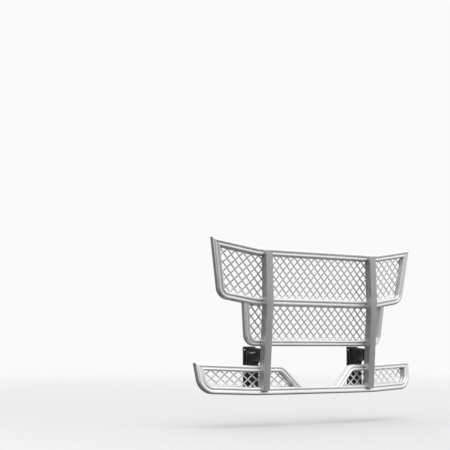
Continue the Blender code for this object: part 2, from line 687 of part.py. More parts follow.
def bracket(side, steel):
    """One mounting bracket as welded: plate, two cheeks, web, buffer shelf and latch guide."""
    name = "left_mounting_bracket" if side < 0 else "right_mounting_bracket"
    middle = side * UPRIGHT_X
    plate = box((middle - PLATE_HALF, PLATE_FRONT, PLATE_LOW), (middle + PLATE_HALF, PLATE_BACK, PLATE_TOP))
    made = finish(name, plate, steel)
    for hand, label in ((-1, "left"), (1, "right")):
        low, high = sorted((middle + hand * CHEEK_IN, middle + hand * CHEEK_OUT))
        boolean(made, f"{name}_{label}_cheek", side_plate(cheek_outline(), low, high), "UNION")
    across = CHEEK_IN + 0.002
    web = box((middle - across, 0.217, 0.300), (middle + across, 0.225, 0.505))
    boolean(made, name + "_web", web, "UNION")
    shelf = box((middle - across, SHELF_FRONT, 0.526), (middle + across, SHELF_BACK, 0.564))
    boolean(made, name + "_shelf", shelf, "UNION")
    guide = turned((middle + side * (CHEEK_OUT - 0.002), LATCH_Y, LATCH_Z), (side, 0, 0),
                   ((0.0, GUIDE_RADIUS), (GUIDE_LENGTH, GUIDE_RADIUS), (GUIDE_LENGTH + 0.002, 0.010)), 16)
    boolean(made, name + "_guide", guide, "UNION")
    bore = turned((middle - 0.08, LATCH_Y, LATCH_Z), (1, 0, 0), ((0.0, LATCH_BORE), (0.16, LATCH_BORE)), 16)
    boolean(made, name + "_latch_bore", bore)
    bore_radius = PIN_RADIUS + GAP
    eye = turned((middle - 0.05, HINGE_Y, HINGE_Z), (1, 0, 0), ((0.0, bore_radius), (0.10, bore_radius)))
    boolean(made, name + "_eye_bore", eye)
    screw = turned((middle, 0.13, BUFFER_Z), (0, 1, 0), ((0.0, STUD_HOLE), (0.03, STUD_HOLE)), 16)
    boolean(made, name + "_buffer_bore", screw)
    for row, height in enumerate(PLATE_HOLE_Z):
        for hand in (-1, 1):
            place = (middle + hand * PLATE_HOLE_X, PLATE_FRONT - 0.01, height)
            drill = turned(place, (0, 1, 0), ((0.0, PLATE_HOLE), (0.03, PLATE_HOLE)), 16)
            boolean(made, f"{name}_bolt_hole_{row}_{'in' if hand * side < 0 else 'out'}", drill)
    return made


def buffer(side, rubber):
    """Rubber stop that the upright's back closes against, with its stud through the bracket's shelf."""
    name = "left_stop_buffer" if side < 0 else "right_stop_buffer"
    touch = front_depth(UPRIGHT_FRONT, BUFFER_Z) + UPRIGHT_DEPTH
    slope = (UPRIGHT_FRONT[-1][1] - UPRIGHT_FRONT[-2][1]) / (UPRIGHT_FRONT[-2][0] - UPRIGHT_FRONT[-1][0])
    lowest = touch + slope * BUFFER_RADIUS + GAP
    length = SHELF_FRONT - GAP - lowest
    sections = ((0.0, BUFFER_RADIUS - 0.003), (0.003, BUFFER_RADIUS), (length, BUFFER_RADIUS + 0.001))
    stud = ((length, STUD_RADIUS), (length + 0.020, STUD_RADIUS))
    centre = (side * UPRIGHT_X, lowest, BUFFER_Z)
    return finish(name, turned(centre, (0, 1, 0), sections + stud, 16), rubber)


def buffer_nut(side, steel):
    name = "left_buffer_nut" if side < 0 else "right_buffer_nut"
    seat = (side * UPRIGHT_X, SHELF_BACK + GAP, BUFFER_Z)
    made = finish(name, turned(seat, (0, 1, 0), ((0.0, 0.0065, "hex"), (0.0060, 0.0065, "hex")), 12), steel)
    thread = STUD_RADIUS + GAP
    boolean(made, name + "_bore", turned(seat, (0, 1, 0), ((-0.01, thread), (0.02, thread)), 12))
    return made


def hinge_lug(side, body, metal):
    """The guard's half of the hinge: a block coped and welded to the bottom rail's back, bored for the bush."""
    name = "left_hinge_lug" if side < 0 else "right_hinge_lug"
    middle = side * UPRIGHT_X
    inside_rail = HINGE_Y - LUG_REACH
    outline = arc((HINGE_Y, HINGE_Z), LUG_RADIUS, 90, -90, 10)
    outline += [(inside_rail, HINGE_Z - LUG_RADIUS), (inside_rail, HINGE_Z + LUG_RADIUS)]
    half = CHEEK_IN - 0.001
    made = finish(name, side_plate(outline, middle - half, middle + half), metal, body)
    rail = straight_rail(BAR, BAR_LOW_Z, BAR_WIDTH, BAR_DEPTH, side, UPRIGHT_X - 0.04, UPRIGHT_X + 0.04)
    boolean(made, name + "_cope", rail)
    bore_radius = BUSH_OUTER + GAP
    bore = turned((middle - 0.04, HINGE_Y, HINGE_Z), (1, 0, 0), ((0.0, bore_radius), (0.08, bore_radius)))
    boolean(made, name + "_bore", bore)
    return made


def hinge_bush(side, body, plastic):
    name = "left_hinge_bush" if side < 0 else "right_hinge_bush"
    inner = PIN_RADIUS + BUSH_CLEARANCE
    length = 2.0 * (CHEEK_IN - 0.0006)
    bush = sleeve((side * UPRIGHT_X, HINGE_Y, HINGE_Z), (1, 0, 0), inner, BUSH_OUTER, length)
    return finish(name, bush, plastic, body)


def hinge_pin(side, steel):
    """Headed pin through both cheeks. Its head is on the side towards the middle of the truck."""
    name = "left_hinge_pin" if side < 0 else "right_hinge_pin"
    start = -CHEEK_OUT - GAP
    end = CHEEK_OUT + 0.011
    sections = ((start - 0.005, 0.0115), (start, 0.0115), (start, PIN_RADIUS))
    tip = ((end - 0.0015, PIN_RADIUS), (end, PIN_RADIUS - 0.0015))
    return finish(name, turned((side * UPRIGHT_X, HINGE_Y, HINGE_Z), (side, 0, 0), sections + tip), steel)


def pin_collar(side, steel):
    name = "left_pin_collar" if side < 0 else "right_pin_collar"
    centre = (side * (UPRIGHT_X + CHEEK_OUT + 0.0045), HINGE_Y, HINGE_Z)
    return finish(name, sleeve(centre, (1, 0, 0), PIN_RADIUS + GAP, 0.0125, 0.007), steel)


def striker(side, body, steel):
    """The guard's half of the latch: a pad on the upright's back with a plate notched over the latch pin."""
    name = "left_striker" if side < 0 else "right_striker"
    middle = side * UPRIGHT_X
    low, high = STRIKER_LOW, STRIKER_HIGH
    near_low = front_depth(UPRIGHT_FRONT, low) + UPRIGHT_DEPTH + GAP
    near_high = front_depth(UPRIGHT_FRONT, high) + UPRIGHT_DEPTH + GAP
    pad = [(near_low, low), (near_low + 0.005, low), (near_high + 0.005, high), (near_high, high)]
    made = finish(name, side_plate(pad, middle - 0.019, middle + 0.019), steel, body)
    edge = low + 0.004
    notch_front, notch_back, notch_top = LATCH_Y - LATCH_NOTCH, LATCH_Y + LATCH_NOTCH, LATCH_Z + LATCH_NOTCH
    plate = [(near_low + 0.002, edge), (notch_front, edge), (notch_front, notch_top)]
    plate += [(notch_back, notch_top), (notch_back, edge), (LATCH_Y + 0.018, edge)]
    plate += [(LATCH_Y + 0.018, LATCH_Z + 0.010), (LATCH_Y + 0.010, LATCH_Z + 0.020)]
    plate += [(near_high + 0.002, LATCH_Z + 0.020)]
    boolean(made, name + "_plate", side_plate(plate, middle - 0.006, middle + 0.006), "UNION")
    return made


def latch_pin(side, body, steel):
    """Sliding latch pin, drawn out: its tip is inside the guide, clear of the striker."""
    name = "left_latch_pin" if side < 0 else "right_latch_pin"
    tip = CHEEK_IN + 0.0010
    shoulder = CHEEK_OUT + GUIDE_LENGTH + LATCH_TRAVEL + 0.001
    sections = ((tip, LATCH_RADIUS - 0.0015), (tip + 0.0015, LATCH_RADIUS), (shoulder, LATCH_RADIUS))
    stub = ((shoulder, 0.0045), (shoulder + 0.013, 0.0045))
    pin = turned((side * UPRIGHT_X, LATCH_Y, LATCH_Z), (side, 0, 0), sections + stub, 16)
    return finish(name, pin, steel, body)


def latch_knob(side, body, plastic):
    """Pull knob on the outer end of a latch pin."""
    name = "left_latch_knob" if side < 0 else "right_latch_knob"
    start = CHEEK_OUT + GUIDE_LENGTH + LATCH_TRAVEL + 0.001 + GAP
    centre = Vector((side * UPRIGHT_X, LATCH_Y, LATCH_Z))
    sections = ((start, 0.009), (start + 0.004, 0.010), (start + 0.008, 0.016))
    sections += ((start + 0.016, 0.017), (start + 0.020, 0.013))
    made = finish(name, turned(centre, (side, 0, 0), sections, 16), plastic, body)
    bore = turned(centre, (side, 0, 0), ((start - 0.01, 0.0048), (start + 0.0135, 0.0048)), 16)
    boolean(made, name + "_bore", bore)
    return made


# --- Assembly -----------------------------------------------------------------------------------------------
def build():
    clear_scene()
    rail_metal = material("rail_aluminium", (0.86, 0.87, 0.87), 0.24, 0.9)
    upright_metal = material("upright_aluminium", (0.42, 0.43, 0.44), 0.45, 0.8)
    mesh_metal = material("mesh_aluminium", (0.72, 0.72, 0.72), 0.35, 0.8)
    black_steel = material("black_steel", (0.03, 0.03, 0.032), 0.5, 0.2)
    zinc = material("zinc_steel", (0.62, 0.63, 0.65), 0.35, 1.0)
    plastic = material("black_plastic", (0.02, 0.02, 0.02), 0.5, 0.0)
    rubber = material("rubber", (0.015, 0.015, 0.015), 0.8, 0.0)

    guard = axis_empty("guard_hinge", (0.0, HINGE_Y, HINGE_Z))
    top_rail(guard, rail_metal)
    upper = u_rail(TOP_CORNER, MID_CORNER, MID_RADIUS, UPPER_WIDTH, FRAME_DEPTH, FRAME, UPPER_MITRE)
    upper = finish("upper_frame_rail", upper, rail_metal, guard)
    middle_top, middle_low = Vector((MIDDLE_TOP_X, MID_Z)), Vector((MIDDLE_LOW_X, MIDDLE_LOW_Z))
    middle = u_rail(middle_top, middle_low, MIDDLE_RADIUS, MIDDLE_WIDTH, FRAME_DEPTH, FRAME, None)
    middle = finish("middle_frame_rail", middle, rail_metal, guard)
    bottom = u_rail(BAR_TOP_CORNER, BAR_LOW_CORNER, BAR_RADIUS, BAR_WIDTH, BAR_DEPTH, BAR, BAR_MITRE)
    finish("bar_bottom_rail", bottom, rail_metal, guard)

    mesh_sheet("upper_mesh", upper_opening(), UPPER_PATTERN, FRAME_DEPTH, FRAME, guard, mesh_metal)
    mesh_sheet("middle_mesh", middle_opening(), MIDDLE_PATTERN, FRAME_DEPTH, FRAME, guard, mesh_metal)

    for side, hand in ((-1, "left"), (1, "right")):
        pattern = (*BAR_PATTERN[:2], side * BAR_PATTERN[2], BAR_PATTERN[3])
        mesh_sheet(f"{hand}_bar_mesh", bar_opening(side), pattern, BAR_DEPTH, BAR, guard, mesh_metal)
        bar_top_rail(side, guard, rail_metal)
        drill_rail(upper, side, "mid")
        drill_rail(middle, side, "middle")
        upright(side, guard, upright_metal)
        upright_cap(side, True, guard, upright_metal)
        upright_cap(side, False, guard, upright_metal)
        crossing_bolts(side, guard, zinc)
        hinge_lug(side, guard, rail_metal)
        hinge_bush(side, guard, plastic)
        striker(side, guard, black_steel)

        bracket(side, black_steel)
        hinge_pin(side, zinc)
        pin_collar(side, zinc)
        buffer(side, rubber)
        buffer_nut(side, zinc)

        latch = axis_empty(f"{hand}_latch_axis", (side * UPRIGHT_X, LATCH_Y, LATCH_Z))
        latch_pin(side, latch, zinc)
        latch_knob(side, latch, plastic)


build()
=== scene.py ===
"""Looks of a fold-down front grille guard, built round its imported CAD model. Metres, +Z up, the CAD's frame.

The rails and meshes are made again with their fine shape, from the same dimensions as the CAD's. The turned
pieces take their places from the CAD's nodes. The rest are the CAD's own solids, most with eased edges. The
frames are designed in road coordinates: heights above the road, and depths back from the foremost point.
"""

import json
import math

import bmesh
import bpy
from mathutils import Matrix, Vector


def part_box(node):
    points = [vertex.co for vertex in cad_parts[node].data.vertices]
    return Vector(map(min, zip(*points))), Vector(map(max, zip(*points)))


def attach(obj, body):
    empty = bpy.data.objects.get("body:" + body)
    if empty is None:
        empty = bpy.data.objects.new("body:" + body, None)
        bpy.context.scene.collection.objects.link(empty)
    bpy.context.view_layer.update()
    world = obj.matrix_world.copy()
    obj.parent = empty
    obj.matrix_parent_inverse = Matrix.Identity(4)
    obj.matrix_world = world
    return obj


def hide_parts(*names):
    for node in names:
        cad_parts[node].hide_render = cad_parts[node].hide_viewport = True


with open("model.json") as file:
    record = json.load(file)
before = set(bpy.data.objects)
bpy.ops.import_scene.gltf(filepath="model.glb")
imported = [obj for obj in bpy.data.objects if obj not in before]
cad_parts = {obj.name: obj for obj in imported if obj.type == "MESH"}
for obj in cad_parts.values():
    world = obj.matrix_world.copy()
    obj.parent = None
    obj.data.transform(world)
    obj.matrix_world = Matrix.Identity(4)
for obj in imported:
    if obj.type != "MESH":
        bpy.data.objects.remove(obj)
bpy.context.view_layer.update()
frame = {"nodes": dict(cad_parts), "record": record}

# --- Driving dimensions of the frames, equal to those of the CAD ------------
GAP = 0.0003  # clearance left where two pieces touch
BASE = Vector((0.0, 0.15545, 0.254))  # road coordinates of the CAD's origin
UPPER_WIDTH, MIDDLE_WIDTH, BAR_TOP_WIDTH, BAR_WIDTH = 0.060, 0.048, 0.052, 0.064
FRAME_DEPTH, BAR_DEPTH = 0.048, 0.054
TOP_Z, TOP_CORNER_X = 1.427, 1.042
MID_Z, MID_CORNER_X, MID_RADIUS = 0.966, 0.963, 0.090
MIDDLE_TOP_X, MIDDLE_LOW_X, MIDDLE_LOW_Z, MIDDLE_RADIUS = 0.742, 0.706, 0.642, 0.085
BAR_TOP_Z, BAR_TOP_X = 0.489, 1.121
BAR_LOW_Z, BAR_LOW_X, BAR_RADIUS = 0.254, 1.093, 0.120
SLANT_TOP_X, SLANT_LOW_X, SLANT_RADIUS = 0.355, 0.152, 0.115
FRAME_FRONT = ((1.397, 0.045), (0.996, 0.0745), (0.666, 0.1035))
BAR_FRONT = ((0.463, 0.090), (0.286, 0.066))
STRAND, SHEET, MESH_LAP, MESH_BORDER, SMALLEST_HOLE = 0.0105, 0.003, 0.011, 0.002, 0.00012
# Diamond patterns: pitch across, pitch in height, and one diamond's middle (across, height).
UPPER_PATTERN = (0.0717, 0.0748, 0.0141, 1.2952)
MIDDLE_PATTERN = (0.0717, 0.0748, 0.0, 0.840)
BAR_PATTERN = (0.0795, 0.0670, 0.9350, 0.376)
# Sweep and lift of the wings: (distance from the middle, slope gained there).
FRAME_SWEEP, FRAME_LIFT = (0.625, 0.10), (0.625, 0.160)
BAR_SWEEP_NEAR, BAR_SWEEP_FAR, BAR_LIFT = (0.410, 0.142), (0.950, 0.06), (0.625, 0.040)

# --- Fine shape of the looks ------------------------------------------------
BEND_SOFTNESS = 0.035  # half the length over which a wing bend turns
GROOVE_DEPTH, GROOVE_HALF, GROOVE_SHIFT = 0.006, 0.0022, 0.0024
EDGE_DEPTH, BACK_RADIUS = 0.018, 0.006
BEAD_POWER, BEAD_STEPS, CORNER_STEPS, SLANT_STEPS = 2.15, 16, 10, 6
BACK_STEPS, CLEAR_STEPS = 4, 8
COPE_END_X = 0.02  # the cope's cutter runs in to here, past the slant's foot
STRAND_TILT = 0.0016  # how far a strand's two edges stand off the sheet's middle
STRAND_BEVEL, STRAND_ANGLE = 0.0010, 50.0
TILT_FADE = 0.6  # share of a diamond's half height over which the tilt dies out at the border
SHORTEST_SIDE, BISECT_DISTANCE = 0.0004, 0.000001  # of a clipped hole; for a cut through a sheet
MERGE_DISTANCE, FLAT_ANGLE, EASED_ANGLE = 0.00002, 0.6, 38.0  # for the CAD's own solids
WELD_STEP, WELD_SIDES = 0.0030, 8
WELD_TAPER, WELD_RIPPLE = (0.55, 0.85), 0.13  # size of a bead's first rings, and its ripple
RAIL_WELD_RADIUS, LUG_WELD_RADIUS, CHEEK_WELD_RADIUS = 0.0022, 0.0026, 0.0034
PLATE_THICKNESS, CHEEK_FACE = 0.010, 0.0295  # bracket's plate; its cheeks' outer faces, from its middle
CHEEK_WELD_MARGINS = (0.012, 0.010)  # below and above a cheek's weld
DRESSED_DEPTH = 0.012  # a rail's welds are dressed away in front of this depth
BUTT_DROP = 0.001  # of a weld under the middle cross rail
RIVET_RADIUS, RIVET_HEIGHT, RIVET_SPACING = 0.0042, 0.0018, 0.105
RIVET_SIDES, ROLL_PIN_SIDES = 12, 16
SIDES, FLUTED_RADIUS = 48, 0.012  # of a turned piece
TINY = 1e-9
WEAR_SPREAD = 14.0  # the larger, the blunter the edges that still look worn

# --- Photographic set -------------------------------------------------------
ROAD_Z = -BASE.z
CAMERA_PLACE = Vector((-5.651, -7.1515, 0.367))
CAMERA_YAW, CAMERA_PITCH = 33.69, 6.52
CAMERA_LENS, CAMERA_SENSOR = 86.67, 36.0
GUARD_MIDDLE = Vector((0.0, 0.0, 0.62))
# The metal sees a room that brightens along TOWARDS_LIGHT, as two (place, grey), a wide sun and a softbox.
# The camera sees a pale backdrop, which the floor fades into between the distances of FLOOR_FADE.
TOWARDS_LIGHT = (0.24, -0.12, 0.94)
ROOM = ((-0.25, 0.12), (0.95, 1.40))
SUN_STRENGTH, SUN_WIDTH, SUN_TURN = 1.1, 60.0, (24.0, -14.0, 0.0)
SOFTBOX_PLACE, SOFTBOX_SIZE, SOFTBOX_POWER = (-6.5, -1.0, 1.6), (3.4, 3.0), 62.0
BACKDROP_GREY, BACKDROP_RADIUS = 0.955, 50.0
BACKDROP_SUBDIVISIONS = 4
FLOOR_GREY, FLOOR_ROUGHNESS, FLOOR_FADE = 0.60, 0.8, (3.0, 20.0)


# --- Material building blocks -----------------------------------------------
def map_range(tree, value, low, high, from_low, from_high):
    """Add a node that maps a value to a range of numbers."""
    node = tree.nodes.new("ShaderNodeMapRange")
    ends = {"From Min": from_low, "From Max": from_high, "To Min": low, "To Max": high}
    for socket, number in ends.items():
        node.inputs[socket].default_value = number
    tree.links.new(value, node.inputs["Value"])
    return node.outputs["Result"]


class Finish:
    """A Principled material and short ways to add nodes to it."""

    def __init__(self, name, colour, roughness, metallic, **fixed):
        self.material = bpy.data.materials.new(name)
        self.material.use_nodes = True
        self.tree = self.material.node_tree
        self.shader = self.tree.nodes["Principled BSDF"]
        self.set("Base Color", (*colour, 1.0))
        self.set("Roughness", roughness)
        self.set("Metallic", metallic)
        for socket, value in fixed.items():
            self.set(socket.replace("_", " "), value)
        self.coordinates = self.tree.nodes.new("ShaderNodeTexCoord")

    def set(self, socket, value):
        self.shader.inputs[socket].default_value = value

    def link(self, source, target):
        self.tree.links.new(source, target)

    def drive(self, socket, source):
        self.link(source, self.shader.inputs[socket])

    def noise(self, scale, detail=4.0, stretch=(1, 1, 1), source="Object", roughness=0.5):
        mapping = self.tree.nodes.new("ShaderNodeMapping")
        mapping.inputs["Scale"].default_value = stretch
        self.link(self.coordinates.outputs[source], mapping.inputs["Vector"])
        node = self.tree.nodes.new("ShaderNodeTexNoise")
        node.inputs["Scale"].default_value = scale
        node.inputs["Detail"].default_value = detail
        node.inputs["Roughness"].default_value = roughness
        self.link(mapping.outputs["Vector"], node.inputs["Vector"])
        return node.outputs["Fac"]

    def ramp(self, value, low, high, from_low=0.3, from_high=0.7):
        return map_range(self.tree, value, low, high, from_low, from_high)

    def colours(self, value, low, high, from_low=0.3, from_high=0.7):
        """Map a value to a blend of two colours."""
        node = self.tree.nodes.new("ShaderNodeValToRGB")
        for element, place, colour in zip(node.color_ramp.elements, (from_low, from_high), (low, high)):
            element.position = place
            element.color = (*colour, 1.0)
        self.link(value, node.inputs["Fac"])
        return node.outputs["Color"]

    def mixed(self, first, second, share):
        node = self.tree.nodes.new("ShaderNodeMix")
        node.data_type = "RGBA"
        self.link(share, node.inputs["Factor"])
        self.link(first, node.inputs["A"])
        self.link(second, node.inputs["B"])
        return node.outputs["Result"]

    def math(self, operation, first, second):
        node = self.tree.nodes.new("ShaderNodeMath")
        node.operation = operation
        for index, value in enumerate((first, second)):
            if isinstance(value, float):
                node.inputs[index].default_value = value
            else:
                self.link(value, node.inputs[index])
        return node.outputs["Value"]

    def bump(self, height, strength, distance, below=None):
        node = self.tree.nodes.new("ShaderNodeBump")
        node.inputs["Strength"].default_value = strength
        node.inputs["Distance"].default_value = distance
        self.link(height, node.inputs["Height"])
        if below:
            self.link(below, node.inputs["Normal"])
        return node.outputs["Normal"]

    def worn_edges(self):
        """1 on convex edges, 0 elsewhere."""
        geometry = self.tree.nodes.new("ShaderNodeNewGeometry")
        start, full = 0.5 + 0.25 / WEAR_SPREAD, 0.5 + 1.0 / WEAR_SPREAD
        return self.ramp(geometry.outputs["Pointiness"], 0.0, 1.0, start, full)


def grained_aluminium(name, low, high, roughness, stretch, source, grain):
    """Anodised extrusion: fine die lines along its length, soft clouding and slightly uneven gloss."""
    made = Finish(name, high, roughness, 1.0)
    lines = made.noise(34.0, 6.0, stretch, source, 0.6)
    clouds = made.noise(5.0, 3.0)
    specks = made.noise(260.0, 2.0)
    shade = made.math("ADD", made.math("MULTIPLY", lines, 0.45), made.math("MULTIPLY", clouds, 0.55))
    made.drive("Base Color", made.colours(shade, low, high, 0.36, 0.62))
    clouded = made.ramp(clouds, -0.03, 0.05)
    lined = made.ramp(lines, roughness - 0.05, roughness + 0.06)
    made.drive("Roughness", made.math("ADD", clouded, lined))
    fine = made.bump(specks, 0.05, 0.0002)
    made.drive("Normal", made.bump(lines, grain, 0.0003, fine))
    return made.material


def rail_aluminium():
    """Pale extrusion, with its die lines along the rail's own length."""
    low, high = (0.84, 0.84, 0.835), (0.92, 0.92, 0.915)
    return grained_aluminium("rail_anodised", low, high, 0.39, (0.35, 160.0, 1.0), "UV", 0.06)


def upright_aluminium():
    """Darker extrusion, with its die lines upward."""
    low, high = (0.46, 0.465, 0.47), (0.54, 0.545, 0.55)
    return grained_aluminium("upright_anodised", low, high, 0.44, (60.0, 60.0, 0.5), "Object", 0.12)


def mesh_aluminium():
    """Expanded sheet: satin, with soft clouding and the fine streaks of a sheared edge."""
    made = Finish("mesh_satin", (0.88, 0.88, 0.88), 0.42, 1.0)
    clouds = made.noise(9.0, 3.0)
    shear = made.noise(420.0, 3.0, (1.0, 0.15, 1.0))
    satin = made.colours(clouds, (0.83, 0.83, 0.825), (0.94, 0.94, 0.935))
    made.drive("Base Color", satin)
    made.drive("Roughness", made.ramp(shear, 0.36, 0.52))
    made.drive("Normal", made.bump(shear, 0.2, 0.0002))
    return made.material


def weld_metal():
    """Bright bead with a straw tint in places and a fine ripple."""
    made = Finish("weld_bead", (0.66, 0.65, 0.63), 0.35, 1.0)
    tint = made.noise(45.0, 3.0)
    made.drive("Base Color", made.colours(tint, (0.70, 0.70, 0.69), (0.58, 0.545, 0.49)))
    made.drive("Roughness", made.ramp(tint, 0.28, 0.45))
    made.drive("Normal", made.bump(made.noise(900.0, 2.0), 0.25, 0.0003))
    return made.material


def powder_coat():
    """Black powder coat: orange peel, fine sparkle of dust on it, and edges rubbed towards grey."""
    made = Finish("black_powder_coat", (0.018, 0.018, 0.019), 0.42, 0.0, Specular_IOR_Level=0.5)
    peel = made.noise(520.0, 2.0)
    dust = made.noise(14.0, 5.0, roughness=0.65)
    coat = made.colours(dust, (0.015, 0.015, 0.016), (0.034, 0.033, 0.032), 0.4, 0.72)
    rubbed = made.colours(dust, (0.09, 0.09, 0.09), (0.16, 0.158, 0.155))
    made.drive("Base Color", made.mixed(coat, rubbed, made.worn_edges()))
    made.drive("Roughness", made.ramp(dust, 0.36, 0.56))
    made.drive("Normal", made.bump(peel, 0.3, 0.0004))
    return made.material


def zinc_plate():
    """Passivated zinc: cool grey with a faint straw and blue drift, and fine turning lines."""
    made = Finish("zinc_plate", (0.60, 0.61, 0.62), 0.34, 1.0)
    drift = made.noise(60.0, 4.0)
    made.drive("Base Color", made.colours(drift, (0.52, 0.54, 0.58), (0.66, 0.64, 0.58)))
    made.drive("Roughness", made.ramp(made.noise(300.0, 3.0), 0.26, 0.44))
    made.drive("Normal", made.bump(made.noise(700.0, 2.0), 0.15, 0.0002))
    return made.material


def moulded_plastic():
    """Black moulded plastic with a spark-eroded texture."""
    made = Finish("moulded_plastic", (0.022, 0.022, 0.023), 0.5, 0.0)
    grain = made.noise(1400.0, 2.0)
    patches = made.noise(20.0, 3.0)
    black = made.colours(patches, (0.018, 0.018, 0.019), (0.03, 0.03, 0.031))
    made.drive("Base Color", black)
    made.drive("Roughness", made.ramp(grain, 0.44, 0.58))
    made.drive("Normal", made.bump(grain, 0.35, 0.0003))
    return made.material


def buffer_rubber():
    """Vulcanised rubber: matt, with a pale bloom in patches."""
    made = Finish("buffer_rubber", (0.02, 0.02, 0.02), 0.78, 0.0)
    bloom = made.noise(32.0, 5.0)
    black = made.colours(bloom, (0.014, 0.014, 0.014), (0.045, 0.044, 0.042), 0.42, 0.75)
    made.drive("Base Color", black)
    made.drive("Roughness", made.ramp(bloom, 0.7, 0.9))
    made.drive("Normal", made.bump(made.noise(600.0, 3.0), 0.3, 0.0003))
    return made.material


MATERIALS = {
    "rail_aluminium": rail_aluminium(),
    "upright_aluminium": upright_aluminium(),
    "mesh_aluminium": mesh_aluminium(),
    "black_steel": powder_coat(),
    "zinc_steel": zinc_plate(),
    "black_plastic": moulded_plastic(),
    "rubber": buffer_rubber(),
}
WELD = weld_metal()


# --- Pieces -----------------------------------------------------------------
def placed(name, data):
    """A new object in the scene."""
    made = bpy.data.objects.new(name, data)
    bpy.context.scene.collection.objects.link(made)
    return made


def mesh_of(name, shape):
    """Turn a bmesh into a mesh and let go of it."""
    mesh = bpy.data.meshes.new(name)
    shape.to_mesh(mesh)
    shape.free()
    return mesh


def piece(name, shape, slot, body, replaced=(), material=None, smooth=35.0):
    """Turn a bmesh in the CAD's frame into a finished piece on a body."""
    bmesh.ops.recalc_face_normals(shape, faces=shape.faces)
    mesh = mesh_of(name, shape)
    mesh.shade_smooth()
    mesh.set_sharp_from_angle(angle=math.radians(smooth))
    made = placed(name, mesh)
    mesh.materials.append(material or MATERIALS[slot])
    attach(made, body)
    if replaced:
        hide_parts(*replaced)
    return made


def body_of(node):
    """The body that the record puts a node on."""
    bodies = frame["record"]["behaviour"]["bodies"]
    return next(body for body, nodes in bodies.items() if node in nodes)


def slot_of(node):
    """The material slot that the record gives a node."""
    return next(row["material_slot"] for row in frame["record"]["subparts"] if row["node"] == node)


def ease(made, name, width, angle):
    """Round every edge sharper than an angle in degrees, as the last step of a piece."""
    step = made.modifiers.new(name, "BEVEL")
    step.width = width
    step.segments = 2
    step.limit_method = "ANGLE"
    step.angle_limit = math.radians(angle)
    step.use_clamp_overlap = True


def refined(node, name, bevel=0.0006):
    """A CAD node's own shape with its corners welded, its edges eased and its round faces smooth."""
    shape = bmesh.new()
    shape.from_mesh(frame["nodes"][node].data)
    bmesh.ops.remove_doubles(shape, verts=shape.verts, dist=MERGE_DISTANCE)
    limit = math.radians(FLAT_ANGLE)
    bmesh.ops.dissolve_limit(shape, angle_limit=limit, verts=shape.verts, edges=shape.edges)
    made = piece(name, shape, slot_of(node), body_of(node), (node,), smooth=30.0)
    if bevel:
        ease(made, "eased_edges", bevel, EASED_ANGLE)


def cut(target, shape, tag):
    """Cut a shape out of a piece and keep the result as its mesh."""
    bmesh.ops.recalc_face_normals(shape, faces=shape.faces)
    guide = placed(tag, mesh_of(tag, shape))
    step = target.modifiers.new(tag, "BOOLEAN")
    step.object = guide
    step.solver = "EXACT"
    view = bpy.context.evaluated_depsgraph_get()
    result = bpy.data.meshes.new_from_object(target.evaluated_get(view))
    target.modifiers.remove(step)
    target.data = result
    bpy.data.objects.remove(guide, do_unlink=True)


def skin(shape, rings):
    """Join rings of vertices into one closed tube with flat ends."""
    count = len(rings[0])
    for low, high in zip(rings, rings[1:]):
        for step in range(count):
            after = (step + 1) % count
            shape.faces.new((low[step], low[after], high[after], high[step]))
    shape.faces.new(rings[0])
    shape.faces.new(rings[-1])


# --- Paths in the plane of the frames, as (across, height) ------------------
ACROSS, UPWARD = Vector((1.0, 0.0)), Vector((0.0, 1.0))


def left_of(direction):
    """A direction turned a quarter anticlockwise."""
    return Vector((-direction.y, direction.x))


def crossing(first, first_way, second, second_way):
    """Where two lines meet."""
    side = left_of(second_way)
    return first + first_way * ((second - first).dot(side) / first_way.dot(side))


def arc(centre, radius, start, end, steps):
    """Points on a circle, angles in degrees."""
    found = []
    for step in range(steps + 1):
        angle = math.radians(start + (end - start) * step / steps)
        found.append((centre[0] + radius * math.cos(angle), centre[1] + radius * math.sin(angle)))
    return found


def rounded(points, radii, steps=CORNER_STEPS):
    """A path whose inner corners are replaced with arcs. A radius of 0 keeps the corner."""
    found = [Vector(points[0])]
    for index in range(1, len(points) - 1):
        corner = Vector(points[index])
        back = (Vector(points[index - 1]) - corner).normalized()
        ahead = (Vector(points[index + 1]) - corner).normalized()
        if not radii[index]:
            found.append(corner)
            continue
        half = back.angle(ahead) / 2.0
        centre = corner + (back + ahead).normalized() * (radii[index] / math.sin(half))
        start = corner + back * (radii[index] / math.tan(half)) - centre
        end = corner + ahead * (radii[index] / math.tan(half)) - centre
        turn = start.angle_signed(end)
        for step in range(steps + 1):
            spun = start.copy()
            spun.rotate(Matrix.Rotation(-turn * step / steps, 2))
            found.append(centre + spun)
    found.append(Vector(points[-1]))
    return found


def closed_rounded(points, radii):
    """A closed outline whose corners are replaced with arcs."""
    count = len(points)
    found = []
    for index in range(count):
        trio = [points[index - 1], points[index], points[(index + 1) % count]]
        found += rounded(trio, (0, radii[index], 0))[1:-1]
    return found


def split_at(path, places):
    """Add a point wherever the path crosses one of the places, on either side of the middle."""
    found = [path[0]]
    for start, end in zip(path, path[1:]):
        cuts = []
        for place in places:
            for x in (place, -place):
                if (start.x - x) * (end.x - x) < 0.0:
                    cuts.append((x - start.x) / (end.x - start.x))
        found += [start.lerp(end, share) for share in sorted(cuts)]
        found.append(end)
    return found


def offset_outline(points, distance):
    """A closed outline, listed anticlockwise, moved outward by distance."""
    found = []
    for index, point in enumerate(points):
        before = (point - points[index - 1]).normalized()
        after = (points[(index + 1) % len(points)] - point).normalized()
        across = left_of(before) + left_of(after)
        across /= 1.0 + left_of(before).dot(left_of(after))
        found.append(point - across * distance)
    return found


